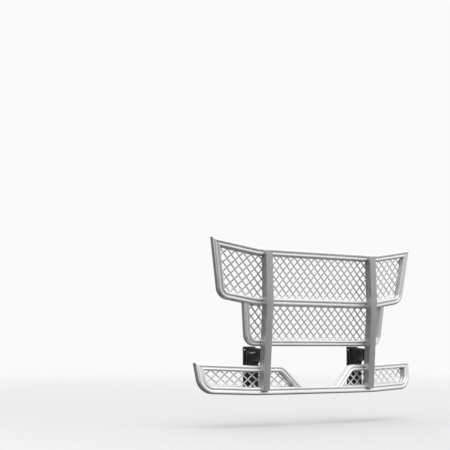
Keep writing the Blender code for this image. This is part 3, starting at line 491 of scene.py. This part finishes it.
def mitre(corner, top_width, side_foot, side_width):
    """Outer and inner corner where a level rail meets a side rail that runs down to side_foot."""
    down = (side_foot - corner).normalized()
    inward = left_of(down) if left_of(down).x * corner.x < 0 else -left_of(down)
    under = corner - Vector((0.0, top_width))
    return corner, crossing(under, ACROSS, corner + inward * side_width, down)


def end_line(outer, inner, shift):
    """The line through two corners, moved to its left, as (point, normal)."""
    along = (inner - outer).normalized()
    return outer + left_of(along) * shift, left_of(along)


def flipped(point):
    """The same point on the other side of the middle."""
    return Vector((-point.x, point.y))


# --- Bent surfaces that the rails and meshes follow -------------------------
def front_depth(knots, height):
    """Depth of a front face at a height, along straight stretches listed from the top down."""
    pair = (knots[0], knots[1])
    for high, low in zip(knots, knots[1:]):
        pair = (high, low)
        if height >= low[0]:
            break
    (z0, y0), (z1, y1) = pair
    return y0 + (y1 - y0) * (height - z0) / (z1 - z0)


def bent(bends, across):
    """Offset gathered across the bends. Each bend turns smoothly over twice its softness."""
    total = 0.0
    for place, slope, soft in bends:
        past = across - place
        if soft and abs(past) < soft:
            total += slope * (past + soft) ** 2 / (4.0 * soft)
        else:
            total += slope * max(0.0, past)
    return total


class Surface:
    """A front face that leans in stretches, with its sides swept back and lifted."""

    def __init__(self, front, sweep, lift):
        self.front = front
        self.sweep = sweep
        self.lift = lift
        found = set()
        for place, _, soft in sweep + lift:
            found.update(round(place + soft * share, 5) for share in (-1.0, -0.5, 0.0, 0.5, 1.0))
        self.places = sorted(found)

    def point(self, x, depth, z):
        """A point of the surface in the CAD's frame."""
        back = front_depth(self.front, z) + depth + bent(self.sweep, abs(x))
        return Vector((x, back, z + bent(self.lift, abs(x)))) - BASE

    def wrap(self, shape):
        """Lay a shape made in (across, depth, height) onto the surface."""
        for vert in shape.verts:
            vert.co = self.point(*vert.co)


FRAME = Surface(FRAME_FRONT, ((*FRAME_SWEEP, BEND_SOFTNESS),), ((*FRAME_LIFT, BEND_SOFTNESS),))
BAR = Surface(BAR_FRONT, ((*BAR_SWEEP_NEAR, 0.0), (*BAR_SWEEP_FAR, BEND_SOFTNESS)),
              ((*BAR_LIFT, BEND_SOFTNESS),))


# --- Rails ------------------------------------------------------------------
def bead(inner, outer, inner_depth, outer_depth):
    """Front of one bead, as a flattened half round from its groove side to its outer side."""
    middle, half = (inner + outer) / 2.0, (outer - inner) / 2.0
    found = []
    for step in range(BEAD_STEPS + 1):
        angle = math.pi * (1.0 - step / BEAD_STEPS)
        across = math.copysign(abs(math.cos(angle)) ** (2.0 / BEAD_POWER), math.cos(angle))
        rise = abs(math.sin(angle)) ** (2.0 / BEAD_POWER)
        fall = inner_depth if across < 0.0 else outer_depth
        found.append((middle + half * across, fall * (1.0 - rise)))
    return found


def rail_profile(width, depth):
    """The extrusion as (out, depth): two round beads beside a groove, with rounded back corners."""
    half = width / 2.0
    outer = bead(GROOVE_HALF - GROOVE_SHIFT, half, GROOVE_DEPTH, EDGE_DEPTH)
    outer += arc((half - BACK_RADIUS, depth - BACK_RADIUS), BACK_RADIUS, 0, 90, BACK_STEPS)
    inner = bead(GROOVE_HALF + GROOVE_SHIFT, half, GROOVE_DEPTH, EDGE_DEPTH)
    inner += arc((half - BACK_RADIUS, depth - BACK_RADIUS), BACK_RADIUS, 0, 90, BACK_STEPS)
    mirrored = [(-across, deep) for across, deep in reversed(inner)]
    return [(across - half, deep) for across, deep in outer + mirrored]


def clear_profile(width, depth):
    """The extrusion's envelope without its groove, for coping another rail onto it."""
    half = width / 2.0 + GAP
    right = arc((half - EDGE_DEPTH, EDGE_DEPTH), EDGE_DEPTH, -90, 0, CLEAR_STEPS) + [(half, depth + GAP)]
    left = [(-across, deep) for across, deep in reversed(right)]
    return [(across - width / 2.0, deep) for across, deep in right + left]


def ring_places(path, index, profile, cuts):
    """Where one ring of a sweep lies: mitred at a corner, cut to a line at an end that has one."""
    point = path[index]
    ways = []
    if index > 0:
        ways.append((point - path[index - 1]).normalized())
    if index < len(path) - 1:
        ways.append((path[index + 1] - point).normalized())
    across = left_of(ways[0]) + left_of(ways[-1])
    across /= 1.0 + left_of(ways[0]).dot(left_of(ways[-1]))
    cut_line = cuts.get(index)
    found = []
    for out, depth in profile:
        place = point + across * out
        if cut_line:
            on_cut, normal = cut_line
            place += ways[0] * ((on_cut - place).dot(normal) / ways[0].dot(normal))
        found.append((place.x, depth, place.y))
    return found


def swept(path, profile, start_cut=None, end_cut=None):
    """A capped extrusion along a path, with its length along U and its girth along V in metres."""
    shape = bmesh.new()
    layer = shape.loops.layers.uv.new("length_and_girth")
    cuts = {0: start_cut, len(path) - 1: end_cut}
    rings = [[shape.verts.new(place) for place in ring_places(path, index, profile, cuts)]
             for index in range(len(path))]
    lengths = [0.0]
    for start, end in zip(path, path[1:]):
        lengths.append(lengths[-1] + (end - start).length)
    girths = [0.0]
    for start, end in zip(profile, profile[1:] + profile[:1]):
        girths.append(girths[-1] + math.dist(start, end))
    for index in range(len(path) - 1):
        low, high = rings[index], rings[index + 1]
        for count in range(len(profile)):
            after = (count + 1) % len(profile)
            face = shape.faces.new((low[count], low[after], high[after], high[count]))
            places = ((index, count), (index, count + 1), (index + 1, count + 1), (index + 1, count))
            for loop, (along, around) in zip(face.loops, places):
                loop[layer].uv = (lengths[along], girths[around])
    shape.faces.new(rings[0])
    shape.faces.new(rings[-1])
    return shape


TOP_CORNER, MID_CORNER = Vector((TOP_CORNER_X, TOP_Z)), Vector((MID_CORNER_X, MID_Z))
MIDDLE_TOP, MIDDLE_LOW = Vector((MIDDLE_TOP_X, MID_Z)), Vector((MIDDLE_LOW_X, MIDDLE_LOW_Z))
BAR_TOP, BAR_LOW = Vector((BAR_TOP_X, BAR_TOP_Z)), Vector((BAR_LOW_X, BAR_LOW_Z))
UPPER_MITRE = mitre(TOP_CORNER, UPPER_WIDTH, MID_CORNER, UPPER_WIDTH)
BAR_MITRE = mitre(BAR_TOP, BAR_TOP_WIDTH, BAR_LOW, BAR_WIDTH)


def u_path(top, low, radius, surface):
    """A U from its top right end to its top left end, with a point at every bend of its surface."""
    points = [(top.x, top.y), (low.x, low.y), (-low.x, low.y), (-top.x, top.y)]
    return split_at(rounded(points, (0, radius, radius, 0)), surface.places)


def u_rail(name, top, low, radius, width, depth, surface, mitres):
    """A rail bent into a U: down the right side, across the bottom and up the left."""
    path = u_path(top, low, radius, surface)
    if mitres:
        outer, inner = mitres
        start, end = end_line(outer, inner, GAP / 2), end_line(flipped(outer), flipped(inner), -GAP / 2)
    else:
        start = end = (top - Vector((0.0, GAP)), UPWARD)
    shape = swept(path, rail_profile(width, depth), start, end)
    surface.wrap(shape)
    piece(name, shape, "rail_aluminium", "guard", (name.replace("_extrusion", ""),))


def top_path():
    """The top rail's upper edge, from left to right."""
    return split_at([flipped(TOP_CORNER), TOP_CORNER], FRAME.places)


def top_rail():
    """The frame's upper rail, cut to its mitres at both ends."""
    outer, inner = UPPER_MITRE
    start, end = end_line(flipped(outer), flipped(inner), GAP / 2), end_line(outer, inner, -GAP / 2)
    shape = swept(top_path(), rail_profile(UPPER_WIDTH, FRAME_DEPTH), start, end)
    FRAME.wrap(shape)
    piece("top_rail_extrusion", shape, "rail_aluminium", "guard", ("top_rail",))


def slant_path():
    """The bar's upper edge, from the slant's foot up and out to the right end."""
    points = [(SLANT_LOW_X, BAR_LOW_Z + BAR_WIDTH / 2.0), (SLANT_TOP_X, BAR_TOP_Z), (BAR_TOP_X, BAR_TOP_Z)]
    return split_at(rounded(points, (0, SLANT_RADIUS, 0), SLANT_STEPS), BAR.places)


def bar_top_rail(side, hand):
    """The bar's upper rail: level from the outer mitre, then bent down and coped onto the bottom rail."""
    path = slant_path()
    outer, inner = BAR_MITRE
    shape = swept(path, rail_profile(BAR_TOP_WIDTH, BAR_DEPTH), (path[0], UPWARD),
                  end_line(outer, inner, -GAP / 2))
    BAR.wrap(shape)
    under = [Vector((SLANT_TOP_X, BAR_LOW_Z)), Vector((COPE_END_X, BAR_LOW_Z))]
    cope = swept(under, clear_profile(BAR_WIDTH, BAR_DEPTH))
    BAR.wrap(cope)
    for vert in shape.verts[:] + cope.verts[:]:
        vert.co.x *= side
    made = piece(f"{hand}_bar_top_extrusion", shape, "rail_aluminium", "guard", (f"{hand}_bar_top_rail",))
    cut(made, cope, f"{hand}_cope")


# --- Welds ------------------------------------------------------------------
def even_points(points, spacing):
    """Points at even distances along a polyline."""
    lengths = [(b - a).length for a, b in zip(points, points[1:])]
    total = sum(lengths)
    count = max(2, round(total / spacing))
    found = []
    for step in range(count + 1):
        want = total * step / count
        for start, end, length in zip(points, points[1:], lengths):
            if want <= length + TINY:
                found.append(start.lerp(end, min(1.0, want / max(length, TINY))))
                break
            want -= length
    return found


def weld(shape, points, radius):
    """Add a rippled weld bead along a polyline, as one closed tube with tapered ends."""
    places = even_points([Vector(point) for point in points], WELD_STEP)
    rings = []
    for index, place in enumerate(places):
        ahead = places[min(index + 1, len(places) - 1)] - places[max(index - 1, 0)]
        turn = ahead.to_track_quat("Z", "Y")
        end = min(index, len(places) - 1 - index)
        tapers = end < len(WELD_TAPER)
        size = radius * (WELD_TAPER[end] if tapers else 1.0 + WELD_RIPPLE * (-1) ** index)
        ring = []
        for step in range(WELD_SIDES):
            angle = 2.0 * math.pi * step / WELD_SIDES
            out = turn @ Vector((math.cos(angle), math.sin(angle), 0.0))
            ring.append(shape.verts.new(place + out * size))
        rings.append(ring)
    skin(shape, rings)


def profile_weld(shape, path, index, width, depth, cuts, surface, side):
    """Weld round a cut end of a rail, on its sides and back. The front is dressed flush."""
    profile = [point for point in rail_profile(width, depth) if point[1] >= DRESSED_DEPTH]
    edge = [(0.0, DRESSED_DEPTH)] + profile + [(-width, DRESSED_DEPTH)]
    places = [surface.point(*place) for place in ring_places(path, index, edge, cuts)]
    weld(shape, [(side * place.x, place.y, place.z) for place in places], RAIL_WELD_RADIUS)


def frame_welds():
    """Every weld on the guard: four mitres, the middle frame's ends, the slants' feet and the hinge lugs."""
    shape = bmesh.new()
    upper = top_path()
    bar = slant_path()
    middle = u_path(MIDDLE_TOP, MIDDLE_LOW, MIDDLE_RADIUS, FRAME)
    butt = {0: (Vector((0.0, MID_Z - BUTT_DROP)), UPWARD)}
    foot = {0: (Vector((0.0, BAR_LOW_Z + BAR_WIDTH)), UPWARD)}
    for side, hand in ((-1, "left"), (1, "right")):
        last = len(upper) - 1
        corner = {last: end_line(*UPPER_MITRE, 0.0)}
        profile_weld(shape, upper, last, UPPER_WIDTH, FRAME_DEPTH, corner, FRAME, side)
        last = len(bar) - 1
        corner = {last: end_line(*BAR_MITRE, 0.0)}
        profile_weld(shape, bar, last, BAR_TOP_WIDTH, BAR_DEPTH, corner, BAR, side)
        profile_weld(shape, middle, 0, MIDDLE_WIDTH, FRAME_DEPTH, butt, FRAME, side)
        profile_weld(shape, bar, 0, BAR_TOP_WIDTH, BAR_DEPTH, foot, BAR, side)
        low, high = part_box(f"{hand}_hinge_lug")
        for z in (low.z, high.z):
            ends = [BAR.point(x, BAR_DEPTH, z + BASE.z) for x in (low.x, high.x)]
            weld(shape, ends, LUG_WELD_RADIUS)
        for x in (low.x, high.x):
            ends = [BAR.point(x, BAR_DEPTH, z + BASE.z) for z in (low.z, high.z)]
            weld(shape, ends, LUG_WELD_RADIUS)
    piece("guard_welds", shape, "rail_aluminium", "guard", material=WELD, smooth=60.0)


def clip(polygon, outline):
    """The part of a convex polygon inside a convex outline, both listed anticlockwise."""
    for index, point in enumerate(outline):
        start = outline[index - 1]
        way = point - start
        kept = []
        for count, here in enumerate(polygon):
            last = polygon[count - 1]
            inside, was_inside = way.cross(here - start) >= 0.0, way.cross(last - start) >= 0.0
            if inside != was_inside:
                kept.append(last.lerp(here, way.cross(start - last) / way.cross(here - last)))
            if inside:
                kept.append(here)
        polygon = kept
        if len(polygon) < 3:
            return []
    return polygon


def area(polygon):
    """Area of a polygon that is listed anticlockwise."""
    return sum(polygon[i - 1].cross(polygon[i]) for i in range(len(polygon))) / 2.0


def holes(outline, pattern):
    """The sheet's holes, each as its middle's height and its outline: diamonds clipped to an outline."""
    wide, tall = pattern[0] / 2.0, pattern[1] / 2.0
    start = Vector(pattern[2:])
    share = 1.0 - STRAND / 2.0 * math.hypot(wide, tall) / (wide * tall)
    corners = [Vector((wide * share, 0.0)), Vector((0.0, tall * share))]
    corners += [-corners[0], -corners[1]]
    columns = [math.floor((point.x - start.x) / wide) for point in outline]
    rows = [math.floor((point.y - start.y) / tall) for point in outline]
    found = []
    for column in range(min(columns) - 1, max(columns) + 3):
        for row in range(min(rows) - 1, max(rows) + 3):
            if (column + row) % 2:
                continue
            centre = start + Vector((column * wide, row * tall))
            hole = clip([centre + corner for corner in corners], outline)
            hole = [point for index, point in enumerate(hole)
                    if (point - hole[index - 1]).length > SHORTEST_SIDE]
            if len(hole) > 2 and area(hole) > SMALLEST_HOLE:
                found.append((centre.y, hole))
    return found


def expanded_mesh(name, opening, pattern, depth, surface, node):
    """Expanded sheet behind the rails, with tilted strands: a hole's lower edge stands ahead of its upper."""
    shape = bmesh.new()
    tilt = shape.verts.layers.float.new("tilt")
    edges = []

    def loop(points, lean):
        verts = [shape.verts.new((point.x, depth + GAP, point.y)) for point in points]
        for vert, point in zip(verts, points):
            vert[tilt] = lean(point)
        edges.extend(shape.edges.new((verts[i - 1], verts[i])) for i in range(len(verts)))

    loop(offset_outline(opening, MESH_LAP), lambda point: 0.0)
    reach = pattern[1] / 2.0
    inside = offset_outline(opening, -MESH_BORDER)
    low, high = min(point.y for point in opening), max(point.y for point in opening)
    for centre, hole in holes(inside, pattern):
        def lean(point):
            inward = min(point.y - low, high - point.y) / (reach * TILT_FADE)
            return STRAND_TILT * (point.y - centre) / reach * max(0.0, min(1.0, inward))
        loop(hole, lean)
    bmesh.ops.triangle_fill(shape, edges=edges, use_beauty=False)
    for place in surface.places:
        for x in (place, -place):
            everything = shape.verts[:] + shape.edges[:] + shape.faces[:]
            bmesh.ops.bisect_plane(shape, geom=everything, plane_co=(x, 0, 0), plane_no=(1, 0, 0),
                                   dist=BISECT_DISTANCE)
    grown = bmesh.ops.extrude_face_region(shape, geom=shape.faces[:])["geom"]
    moved = [item for item in grown if isinstance(item, bmesh.types.BMVert)]
    bmesh.ops.translate(shape, verts=moved, vec=(0.0, SHEET, 0.0))
    for vert in shape.verts:
        vert.co.y += vert[tilt] + STRAND_TILT * 0.5
    surface.wrap(shape)
    made = piece(name, shape, "mesh_aluminium", "guard", (node,), smooth=40.0)
    ease(made, "rounded_strands", STRAND_BEVEL, STRAND_ANGLE)


def dome(shape, centre, normal, radius, height, sides):
    """Add a low domed head that stands on a point, sunk a little into what is under it."""
    turn = normal.to_track_quat("Z", "Y")
    sections = ((radius, -0.0002), (radius, height * 0.25), (radius * 0.82, height * 0.7),
                (radius * 0.45, height))
    rings = []
    for size, rise in sections:
        ring = []
        for step in range(sides):
            angle = 2 * math.pi * step / sides
            out = Vector((size * math.cos(angle), size * math.sin(angle), rise))
            ring.append(shape.verts.new(centre + turn @ out))
        rings.append(ring)
    skin(shape, rings)


def mesh_rivets(name, opening, depth, surface):
    """Rivet heads along the border of a mesh, on the back of the sheet."""
    shape = bmesh.new()
    border = offset_outline(opening, MESH_LAP * 0.5)
    for point in even_points(border + border[:1], RIVET_SPACING)[:-1]:
        place = surface.point(point.x, depth + GAP + SHEET + STRAND_TILT * 0.5, point.y)
        dome(shape, place, Vector((0.0, 1.0, 0.0)), RIVET_RADIUS, RIVET_HEIGHT, RIVET_SIDES)
    piece(name, shape, "zinc_steel", "guard")


def upper_opening():
    """Inner outline of the upper frame, anticlockwise, as (across, height)."""
    inner = UPPER_MITRE[1]
    down = (MID_CORNER - TOP_CORNER).normalized()
    low = crossing(inner, down, Vector((0.0, MID_Z + UPPER_WIDTH)), ACROSS)
    points = [(-low.x, low.y), (low.x, low.y), (inner.x, inner.y), (-inner.x, inner.y)]
    radius = MID_RADIUS - UPPER_WIDTH
    return closed_rounded(points, (radius, radius, 0, 0))


def middle_opening():
    """Inner outline of the middle frame."""
    down = (MIDDLE_LOW - MIDDLE_TOP).normalized()
    edge = MIDDLE_TOP - left_of(down) * MIDDLE_WIDTH
    low = crossing(edge, down, Vector((0.0, MIDDLE_LOW_Z + MIDDLE_WIDTH)), ACROSS)
    high = crossing(edge, down, Vector((0.0, MID_Z)), ACROSS)
    points = [(-low.x, low.y), (low.x, low.y), (high.x, high.y), (-high.x, high.y)]
    radius = MIDDLE_RADIUS - MIDDLE_WIDTH
    return closed_rounded(points, (radius, radius, 0, 0))


def bar_opening(side):
    """Inner outline of one side of the bar."""
    inner = BAR_MITRE[1]
    down = (BAR_LOW - BAR_TOP).normalized()
    floor = Vector((0.0, BAR_LOW_Z + BAR_WIDTH))
    low = crossing(inner, down, floor, ACROSS)
    slant = Vector((SLANT_TOP_X - SLANT_LOW_X, BAR_TOP_Z - BAR_LOW_Z - BAR_WIDTH / 2.0)).normalized()
    edge = Vector((SLANT_TOP_X, BAR_TOP_Z)) - left_of(slant) * BAR_TOP_WIDTH
    foot = crossing(edge, slant, floor, ACROSS)
    head = crossing(edge, slant, inner, ACROSS)
    points = [(foot.x, foot.y), (low.x, low.y), (inner.x, inner.y), (head.x, head.y)]
    radii = (0, BAR_RADIUS - BAR_WIDTH, 0, SLANT_RADIUS - BAR_TOP_WIDTH)
    if side < 0:
        points = [(-x, z) for x, z in reversed(points)]
        radii = tuple(reversed(radii))
    return closed_rounded(points, radii)


# --- Turned pieces ----------------------------------------------------------
def lathe(name, centre, axis, sections, node, flutes=0, flute_depth=0.0, hexagonal=()):
    """A turned piece. Each section is (distance along, radius); those listed in hexagonal have six flats.

    Flutes are cut only where the radius is over FLUTED_RADIUS.
    """
    shape = bmesh.new()
    axis = Vector(axis).normalized()
    first = axis.orthogonal().normalized()
    second = axis.cross(first)
    rings = []
    for index, (along, radius) in enumerate(sections):
        ring = []
        for step in range(SIDES):
            angle = 2.0 * math.pi * step / SIDES
            size = radius
            if index in hexagonal:
                size = radius / math.cos((angle + TINY) % (math.pi / 3.0) - math.pi / 6.0)
            if flutes and radius > FLUTED_RADIUS:
                size -= flute_depth * max(0.0, math.cos(angle * flutes))
            out = first * math.cos(angle) + second * math.sin(angle)
            ring.append(shape.verts.new(Vector(centre) + axis * along + out * size))
        rings.append(ring)
    skin(shape, rings)
    piece(name, shape, slot_of(node), body_of(node), (node,), smooth=28.0)


def flange_bolt(node):
    """Flanged hexagon bolt with a chamfered, dished head, seated on the back of a rail."""
    low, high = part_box(node)
    flange, flat, shank = 0.0020, 0.0085, 0.0050
    top = flange + 0.0064
    seat = high.y - top
    tip = low.y - seat
    centre = ((low.x + high.x) / 2.0, seat, (low.z + high.z) / 2.0)
    sections = ((tip, 0.0040), (tip + 0.001, shank), (0.0, shank), (0.0, 0.0107), (0.0006, 0.0112),
                (flange, 0.0100), (flange, flat), (top - 0.0010, flat), (top, flat * 0.93),
                (top, flat * 0.55), (top - 0.0008, flat * 0.45))
    lathe(node.replace("bolt", "flange_bolt"), centre, (0, 1, 0), sections, node, hexagonal=(6, 7))


def inner_end(side, node):
    """Centre of the end of a node that is nearer the guard's middle, and the node's length across."""
    low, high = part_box(node)
    inner = high.x if side < 0 else low.x
    return (inner, (low.y + high.y) / 2.0, (low.z + high.z) / 2.0), high.x - low.x


def hinge_pin(side, hand):
    """Headed pin with a domed head and a chamfered tip."""
    node = f"{hand}_hinge_pin"
    centre, length = inner_end(side, node)
    head, pin = 0.0115, 0.0080
    sections = ((0.0, 0.0070), (0.0007, 0.0098), (0.0018, head), (0.0048, head), (0.0050, 0.0112),
                (0.0050, pin), (length - 0.0020, pin), (length, 0.0062))
    lathe(f"{hand}_headed_pin", centre, (side, 0, 0), sections, node)


def latch_knob(side, hand):
    """Fluted pull knob with a waist behind its grip."""
    node = f"{hand}_latch_knob"
    centre, _ = inner_end(side, node)
    sections = ((0.0, 0.0082), (0.0006, 0.0090), (0.0040, 0.0092), (0.0060, 0.0112), (0.0078, 0.0150),
                (0.0095, 0.0166), (0.0150, 0.0170), (0.0172, 0.0160), (0.0190, 0.0135), (0.0200, 0.0095))
    lathe(f"{hand}_fluted_knob", centre, (side, 0, 0), sections, node, flutes=8, flute_depth=0.0011)


def latch_pin(side, hand):
    """Sliding pin with a chamfered nose, and a thinner tail that its knob sits on."""
    node = f"{hand}_latch_pin"
    centre, length = inner_end(side, node)
    pin, tail, shoulder = 0.0060, 0.0045, length - 0.0130
    sections = ((0.0, 0.0042), (0.0006, 0.0047), (0.0022, pin), (shoulder, pin), (shoulder, tail),
                (length, tail))
    lathe(f"{hand}_sliding_latch_pin", centre, (side, 0, 0), sections, node)


def stop_buffer(hand):
    """Rubber buffer with a bulged waist and a flat nose, bonded to its stud plate."""
    node = f"{hand}_stop_buffer"
    low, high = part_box(node)
    centre = ((low.x + high.x) / 2.0, low.y, (low.z + high.z) / 2.0)
    length = high.y - low.y
    rubber = length - 0.0200
    back, plate, stud = rubber - 0.0020, 0.0148, 0.0040
    sections = ((0.0, 0.0095), (0.0012, 0.0112), (0.0026, 0.0122), (rubber * 0.45, 0.0138),
                (rubber * 0.62, 0.0140), (back, 0.0132), (back, plate), (rubber, plate), (rubber, stud),
                (length - 0.0008, stud), (length, 0.0033))
    lathe(f"{hand}_bonded_buffer", centre, (0, 1, 0), sections, node)


def roll_pin(hand):
    """Both ends of the spring pin that fixes the collar to the hinge pin."""
    low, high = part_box(f"{hand}_pin_collar")
    centre = (low + high) / 2.0
    shape = bmesh.new()
    radius, rise, proud = 0.0016, 0.0035, 0.0015
    reach = (high.z - low.z) / 2.0 + proud
    for end in (-1, 1):
        start = centre + Vector((0.0, 0.0, end * (reach - rise)))
        dome(shape, start, Vector((0.0, 0.0, end)), radius, rise, ROLL_PIN_SIDES)
    piece(f"{hand}_roll_pin_ends", shape, "zinc_steel", "truck_mounts")


def cheek_welds(hand):
    """Fillets between the bracket's cheeks and its plate, under the same coat."""
    shape = bmesh.new()
    low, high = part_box(f"{hand}_mounting_bracket")
    nut_low, nut_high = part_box(f"{hand}_buffer_nut")
    middle = (nut_low.x + nut_high.x) / 2.0
    plate = high.y - PLATE_THICKNESS
    below, above = CHEEK_WELD_MARGINS
    for x in (middle - CHEEK_FACE, middle + CHEEK_FACE):
        weld(shape, [(x, plate, low.z + below), (x, plate, high.z - above)], CHEEK_WELD_RADIUS)
    piece(f"{hand}_bracket_welds", shape, "black_steel", "truck_mounts", smooth=60.0)


# --- Assembly ---------------------------------------------------------------
def build_guard():
    """The moving guard: its rails, meshes, rivets and welds, and what its uprights carry."""
    top_rail()
    u_rail("upper_frame_rail_extrusion", TOP_CORNER, MID_CORNER, MID_RADIUS, UPPER_WIDTH, FRAME_DEPTH, FRAME,
           UPPER_MITRE)
    u_rail("middle_frame_rail_extrusion", MIDDLE_TOP, MIDDLE_LOW, MIDDLE_RADIUS, MIDDLE_WIDTH, FRAME_DEPTH,
           FRAME, None)
    u_rail("bar_bottom_rail_extrusion", BAR_TOP, BAR_LOW, BAR_RADIUS, BAR_WIDTH, BAR_DEPTH, BAR, BAR_MITRE)
    expanded_mesh("upper_expanded_mesh", upper_opening(), UPPER_PATTERN, FRAME_DEPTH, FRAME, "upper_mesh")
    expanded_mesh("middle_expanded_mesh", middle_opening(), MIDDLE_PATTERN, FRAME_DEPTH, FRAME, "middle_mesh")
    mesh_rivets("upper_mesh_rivets", upper_opening(), FRAME_DEPTH, FRAME)
    mesh_rivets("middle_mesh_rivets", middle_opening(), FRAME_DEPTH, FRAME)
    frame_welds()
    for side, hand in ((-1, "left"), (1, "right")):
        bar_top_rail(side, hand)
        pattern = (*BAR_PATTERN[:2], side * BAR_PATTERN[2], BAR_PATTERN[3])
        opening = bar_opening(side)
        expanded_mesh(f"{hand}_bar_expanded_mesh", opening, pattern, BAR_DEPTH, BAR, f"{hand}_bar_mesh")
        mesh_rivets(f"{hand}_bar_mesh_rivets", opening, BAR_DEPTH, BAR)
        refined(f"{hand}_upright", f"{hand}_upright_tube", 0.0)
        for end in ("top", "foot"):
            refined(f"{hand}_upright_{end}_cap", f"{hand}_upright_{end}_plate")
        for rail in ("mid", "middle", "bar"):
            flange_bolt(f"{hand}_{rail}_rail_bolt")
        refined(f"{hand}_hinge_lug", f"{hand}_welded_lug", 0.0008)
        refined(f"{hand}_hinge_bush", f"{hand}_bush", 0.0003)
        refined(f"{hand}_striker", f"{hand}_striker_plate")


def build_mounts():
    """What stays on the truck, and the latch pins with their knobs."""
    for side, hand in ((-1, "left"), (1, "right")):
        refined(f"{hand}_mounting_bracket", f"{hand}_bracket", 0.0008)
        cheek_welds(hand)
        hinge_pin(side, hand)
        refined(f"{hand}_pin_collar", f"{hand}_collar", 0.0007)
        roll_pin(hand)
        stop_buffer(hand)
        refined(f"{hand}_buffer_nut", f"{hand}_stud_nut", 0.0006)
        latch_pin(side, hand)
        latch_knob(side, hand)


# --- Set --------------------------------------------------------------------
def stage_only(name, mesh, material):
    """A stage piece for the camera alone: the metal sees the room's light instead of it."""
    mesh.materials.append(material)
    made = placed(name, mesh)
    made.visible_glossy = made.visible_diffuse = False
    return made


def floor():
    """A pale floor at the road, which fades out into the backdrop."""
    mesh = bpy.data.meshes.new("studio_floor")
    signs = ((-1, -1), (1, -1), (1, 1), (-1, 1))
    corners = [(x * BACKDROP_RADIUS, y * BACKDROP_RADIUS, ROAD_Z) for x, y in signs]
    mesh.from_pydata(corners, [], [(0, 1, 2, 3)])
    pale = Finish("pale_floor", (FLOOR_GREY, FLOOR_GREY, FLOOR_GREY), FLOOR_ROUGHNESS, 0.0)
    distance = pale.tree.nodes.new("ShaderNodeVectorMath")
    distance.operation = "LENGTH"
    pale.link(pale.coordinates.outputs["Object"], distance.inputs[0])
    pale.drive("Alpha", pale.ramp(distance.outputs["Value"], 1.0, 0.0, *FLOOR_FADE))
    stage_only("studio_floor", mesh, pale.material)


def backdrop():
    """A plain pale dome round the set, which gives no light."""
    shell = bmesh.new()
    bmesh.ops.create_icosphere(shell, subdivisions=BACKDROP_SUBDIVISIONS, radius=BACKDROP_RADIUS)
    pale = Finish("pale_backdrop", (0.0, 0.0, 0.0), 1.0, 0.0)
    pale.set("Specular IOR Level", 0.0)
    pale.set("Emission Color", (BACKDROP_GREY, BACKDROP_GREY, BACKDROP_GREY, 1.0))
    pale.set("Emission Strength", 1.0)
    made = stage_only("studio_backdrop", mesh_of("studio_backdrop", shell), pale.material)
    made.visible_shadow = False


def studio():
    """A room that is bright above and dim below, one wide soft sun, and a softbox off to the guard's left."""
    world = bpy.data.worlds.new("studio")
    bpy.context.scene.world = world
    world.use_nodes = True
    tree = world.node_tree
    coordinates = tree.nodes.new("ShaderNodeTexCoord")
    along = tree.nodes.new("ShaderNodeVectorMath")
    along.operation = "DOT_PRODUCT"
    along.inputs[1].default_value = TOWARDS_LIGHT
    tree.links.new(coordinates.outputs["Generated"], along.inputs[0])
    (low_place, low_grey), (high_place, high_grey) = ROOM
    grey = map_range(tree, along.outputs["Value"], low_grey, high_grey, low_place, high_place)
    tree.links.new(grey, tree.nodes["Background"].inputs["Color"])

    lamp = bpy.data.lights.new("soft_sun", "SUN")
    lamp.energy = SUN_STRENGTH
    lamp.angle = math.radians(SUN_WIDTH)
    placed("soft_sun", lamp).rotation_euler = [math.radians(turn) for turn in SUN_TURN]

    lamp = bpy.data.lights.new("left_softbox", "AREA")
    lamp.shape = "RECTANGLE"
    lamp.size, lamp.size_y = SOFTBOX_SIZE
    lamp.energy = SOFTBOX_POWER
    softbox = placed("left_softbox", lamp)
    softbox.location = SOFTBOX_PLACE
    softbox.rotation_euler = (GUARD_MIDDLE - softbox.location).to_track_quat("-Z", "Y").to_euler()
    softbox.visible_camera = False


def camera():
    """The camera, given by its place, the way it faces from +Y towards +X, and its upward tilt."""
    data = bpy.data.cameras.new("camera")
    data.lens, data.sensor_width = CAMERA_LENS, CAMERA_SENSOR
    made = placed("camera", data)
    yaw, pitch = math.radians(CAMERA_YAW), math.radians(CAMERA_PITCH)
    ahead = Vector((math.sin(yaw) * math.cos(pitch), math.cos(yaw) * math.cos(pitch), math.sin(pitch)))
    made.location = CAMERA_PLACE
    made.rotation_euler = ahead.to_track_quat("-Z", "Y").to_euler()
    bpy.context.scene.camera = made


camera()
build_guard()
build_mounts()
floor()
backdrop()
studio()
bpy.context.scene.view_settings.view_transform = "Standard"
